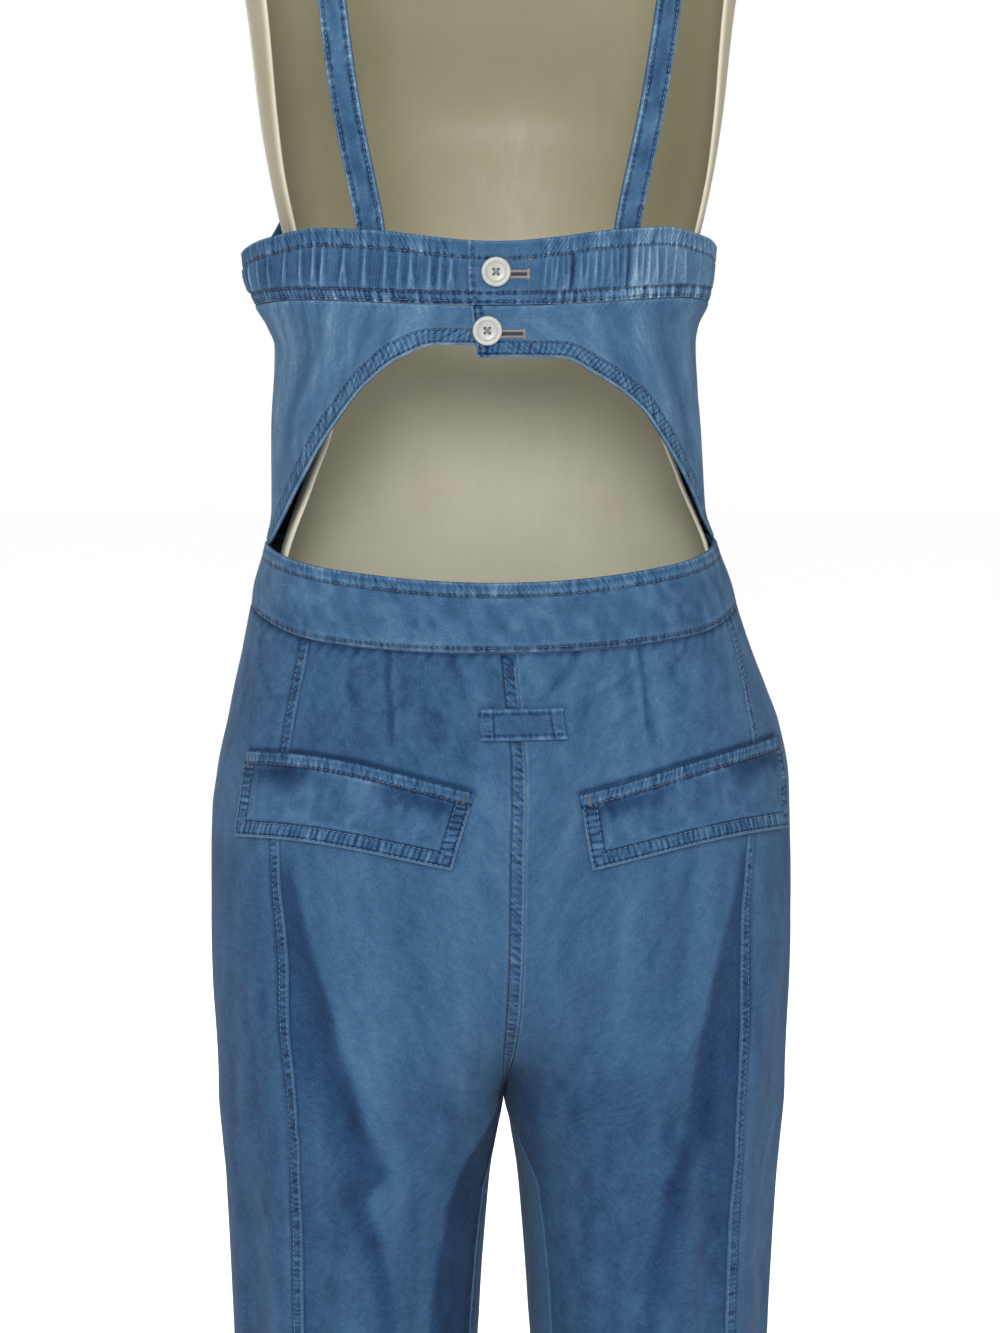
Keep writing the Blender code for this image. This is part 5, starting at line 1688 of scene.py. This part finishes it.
def buttonhole(cloth, degrees, start, end, height, name):
    """A worked buttonhole: two satin rails round a dark slot, and a bar at its end."""
    across = np.interp(np.linspace(start, end, 40), degrees, cloth.across[0])
    column = np.clip(np.round(across * cloth.columns).astype(int), 0, cloth.columns)
    rows = np.linspace(0, 1, cloth.rows + 1)

    def shares(offset):
        return np.array([np.interp(height + offset * MM, cloth.outer[:, c, 2], rows) for c in column])

    for offset in (-1.7, 1.7):
        cloth.bars(across, shares(offset), 1.5, "hole", 0.42, 0.26, 0.16)
    tip = np.linspace(shares(-2.9)[0], shares(2.9)[0], 14)
    cloth.bars(np.full(14, across[0]), tip, 1.8, "hole", 0.42, 0.26, 0.20)
    middle = cloth.sample(cloth.outer, across, shares(0.0))
    normal = unit(cloth.sample(cloth.face_normal, across, shares(0.0)))
    rise = np.array((0, 0, 0.90 * MM))
    corners = ((1, 0.12), (-1, 0.12), (1, -0.25), (-1, -0.25))
    points = np.concatenate([middle + up * rise + normal * out * MM for up, out in corners])
    count = len(middle)
    i = np.arange(count - 1)
    walls = [
        np.stack([i + a * count, i + 1 + a * count, i + 1 + b * count, i + b * count], 1)
        for a, b in ((0, 1), (1, 3), (3, 2), (2, 0))
    ]
    ends = np.array([[0, 1, 3, 2], [0, 2, 3, 1]]) * count + np.array([[0], [count - 1]])
    mesh = facing_out(quad_mesh(name, points, np.concatenate(walls + [ends])))
    add_piece(name, mesh, HOLE_DARK)


# Form and stand

FORM_BOTTOM, SHOULDER, NECK_EDGE = 0.8840, 1.5220, 1.6390
NECK_TOP = [1.6400, 1.6415, 1.6425, 1.6430]
# A collar's turned profile: how far out from the pole, and height
COLLAR_PROFILE = [
    (SEAM_GAP, 0.0300), (SEAM_GAP, 0.0000), (0.0196, 0.0000), (0.0200, 0.0005),
    (0.0200, 0.0040), (0.0195, 0.0045), (0.0085, 0.0056), (0.0068, 0.0072),
    (0.0065, 0.0090), (0.0065, 0.0285), (0.0060, 0.0295), (0.0050, 0.0300),
]
COLLAR_WALL = 0.0065
SET_SCREW_HEIGHT = 0.019
FLANGE_SCREW_OUT = 0.0140
POLE_EASE = 0.0006


def form_shell(finish):
    """The hollow-back torso, with a rounded rim painted slightly paler as a highlight."""
    trunk = np.linspace(FORM_BOTTOM, SHOULDER, 120, endpoint=False)
    heights = np.concatenate([trunk, np.linspace(SHOULDER, NECK_EDGE, 40), NECK_TOP])
    columns, rows = 80, len(heights) - 1
    across, up = np.meshgrid(np.linspace(0, 1, columns + 1), np.arange(rows + 1))
    height = heights[up]
    rim = np.radians(TORSO.at(height).rim_degrees)
    angle = between(rim, 2 * PI - rim, across)
    outer, normal = torso_point(angle, height), outward_normal(torso_point, angle, height, 0.8 * MM)
    run = run_lengths(outer, 1)
    edge = np.minimum(run, run[:, -1:] - run)
    round_off = 0.35 * FORM_WALL * (1 - rising(edge, 0, 2.0))
    depths = (round_off, FORM_WALL - 0.6 * round_off)
    points = np.concatenate([(outer - normal * depth[..., None]).reshape(-1, 3) for depth in depths])
    # Painted highlight along the rim
    rim_highlight = (1 - rising(edge, 1.5, 4.5)).ravel()
    # Painted light through the arch where the cloth covers the form, and painted shade with some yellowing at
    # the bare top, less towards the rims
    covered = smoothstep(height, 0.98, 1.06) * smoothstep(height, 1.27, 1.15)
    toward_rim = smoothstep(np.abs(np.sin(angle)), 0.35, 0.85)
    top_shade_and_yellowing = smoothstep(height, 1.23, 1.32)
    light_and_yellowing = (1.2 * covered - (0.65 - 0.20 * toward_rim) * top_shade_and_yellowing).ravel()
    quads, edge_faces = wall_faces(rows, columns, np.arange(rows + 1), np.arange(columns + 1))
    attributes = {"rim": np.tile(rim_highlight, 2), "light_and_yellowing": np.tile(light_and_yellowing, 2)}
    mesh = facing_out(quad_mesh("form_shell_fine", points, quads, None, attributes, edge_faces))
    add_piece("form_shell_fine", mesh, finish, "form_shell")


def collar(name, node, height, flip, finish):
    """A turned collar round the pole with eased edges, a set screw and three flange screws."""
    made = lathe([(POLE_RADIUS + out, z) for out, z in COLLAR_PROFILE], 64, closed=True)
    reach = POLE_RADIUS + COLLAR_WALL
    screw = [Vector((0, reach + out, SET_SCREW_HEIGHT)) for out in (-1.0 * MM, 3.5 * MM)]
    rod(made, *screw, 3.0 * MM, 6)
    for k in range(3):
        around = 2 * PI * (k + 0.5) / 3
        spot = Vector((math.cos(around), math.sin(around), 0)) * (POLE_RADIUS + FLANGE_SCREW_OUT)
        rod(made, spot + Vector((0, 0, 4.0 * MM)), spot + Vector((0, 0, 6.8 * MM)), 2.6 * MM, 20)
    if flip:
        bmesh.ops.rotate(made, verts=made.verts[:], matrix=Matrix.Rotation(PI, 3, "X"))
    bmesh.ops.translate(made, verts=made.verts[:], vec=(POLE_X, POLE_Y, height))
    steel_piece(name, made, finish, node)


def stand(steel):
    """The base plate, the pole that runs up inside the wearer's right leg, and its collars."""
    made = bmesh.new()
    bmesh.ops.create_cube(made, size=1.0)
    bmesh.ops.scale(made, vec=(BASE_SIDE, BASE_SIDE, BASE_THICKNESS), verts=made.verts[:])
    upright = [e for e in made.edges if e.verts[0].co.z * e.verts[1].co.z < 0]
    bmesh.ops.bevel(made, geom=upright, offset=BASE_CORNER, segments=14, profile=0.5, affect="EDGES")
    top = [e for e in made.edges if min(v.co.z for v in e.verts) > 0]
    bmesh.ops.bevel(made, geom=top, offset=BASE_EDGE, segments=4, profile=0.5, affect="EDGES")
    bmesh.ops.translate(made, verts=made.verts[:], vec=(0, 0, BASE_THICKNESS / 2))
    steel_piece("stand_base_plate", made, steel, "stand_base")
    foot = BASE_THICKNESS + SEAM_GAP
    head = BOARD_HEIGHT - BOARD_THICKNESS / 2 - SEAM_GAP
    narrow = POLE_RADIUS - POLE_EASE
    made = lathe([
        (0, foot), (narrow, foot), (POLE_RADIUS, foot + POLE_EASE), (POLE_RADIUS, between(foot, head, 0.5)),
        (POLE_RADIUS, head - POLE_EASE), (narrow, head), (0, head),
    ], 64)
    bmesh.ops.translate(made, verts=made.verts[:], vec=(POLE_X, POLE_Y, 0))
    steel_piece("stand_pole_tube", made, steel, "stand_pole")
    collar("stand_collar_turned", "stand_collar", foot, False, steel)
    collar("form_socket_turned", "form_socket", head, True, steel)


# Stage, light and camera

PHOTO_HEIGHT = 1333
METRES_PER_PIXEL = 0.00063
CAMERA_DISTANCE = 1.8
CAMERA_TURN = math.radians(6.5)
CAMERA_HEIGHT = 1.3435
AIM_HEIGHT = 1.0181
AIM_SHIFT_PIXELS = -2
SENSOR = 36.0
# Each lamp: name, place, aim, size, power, colour
LAMPS = [
    ("key", (0.5, 3.2, 2.3), (0, 0, 1.1), 1.1, 100, (1.0, 0.995, 0.98)),
    ("front", (0.6, -3.0, 2.2), (0, 0, 1.0), 2.2, 60, (1.0, 1.0, 1.0)),
]
FLOOR_RADIUS = 9.0


def aimed(name, data, location, target):
    """An object of the stage that looks at a target."""
    item = bpy.data.objects.new(name, data)
    item.location = location
    item.rotation_euler = (Vector(target) - Vector(location)).to_track_quat("-Z", "Y").to_euler()
    bpy.context.scene.collection.objects.link(item)
    return item


def stage():
    scene = bpy.context.scene
    camera = bpy.data.cameras.new("camera")
    camera.sensor_fit, camera.sensor_height = "VERTICAL", SENSOR
    seen = math.hypot(CAMERA_DISTANCE, CAMERA_HEIGHT - AIM_HEIGHT)
    camera.lens = seen / METRES_PER_PIXEL * SENSOR / PHOTO_HEIGHT
    camera.shift_x = AIM_SHIFT_PIXELS / PHOTO_HEIGHT
    back, aside = CAMERA_DISTANCE * math.cos(CAMERA_TURN), CAMERA_DISTANCE * math.sin(CAMERA_TURN)
    scene.camera = aimed("camera", camera, (aside, back, CAMERA_HEIGHT), (0, 0, AIM_HEIGHT))

    world = bpy.data.worlds.new("studio")
    world.use_nodes = True
    background = world.node_tree.nodes["Background"]
    background.inputs["Color"].default_value = (1.0, 1.0, 1.0, 1.0)
    background.inputs["Strength"].default_value = 1.0
    scene.world = world
    scene.view_settings.view_transform = "Standard"
    for name, location, target, size, power, colour in LAMPS:
        light = bpy.data.lights.new(name, "AREA")
        light.shape, light.size, light.energy, light.color = "DISK", size, power, colour
        aimed(name, light, location, target)

    made = bmesh.new()
    bmesh.ops.create_circle(made, cap_ends=True, segments=96, radius=FLOOR_RADIUS)
    mesh = filled("floor", made)
    mesh.materials.append(matt("floor_white", (0.98, 0.98, 0.98)))
    floor = bpy.data.objects.new("floor", mesh)
    scene.collection.objects.link(floor)


# The whole model

stage()
band("band_left", 1)
band("band_right", -1)
back_bodice("bodice_back_left", 1, ARCH_LEFT)
back_bodice("bodice_back_right", -1, ARCH_RIGHT)
front_bodice()
waistband("waistband_back", -SIDE_SEAM + HALF_SEAM_ANGLE, SIDE_SEAM - HALF_SEAM_ANGLE, 420, 44)
waistband("waistband_front", SIDE_SEAM + HALF_SEAM_ANGLE, 2 * PI - SIDE_SEAM - HALF_SEAM_ANGLE, 200, 26)
legs()
for flap_side, flap in FLAPS.items():
    pocket_flap(flap_side, flap)
back_tab()
strap("strap_left", 1)
strap("strap_right", -1)
resin = button_plastic("button_plastic")
for button_name, (button_degrees, button_height) in BUTTONS.items():
    button(button_name, button_degrees, button_height, resin)
form_shell(form_plastic("form_plastic"))
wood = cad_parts["form_board"]
wood.data.materials.clear()
wood.data.materials.append(board_wood("form_board_wood"))
stand(brushed_steel("stand_steel"))
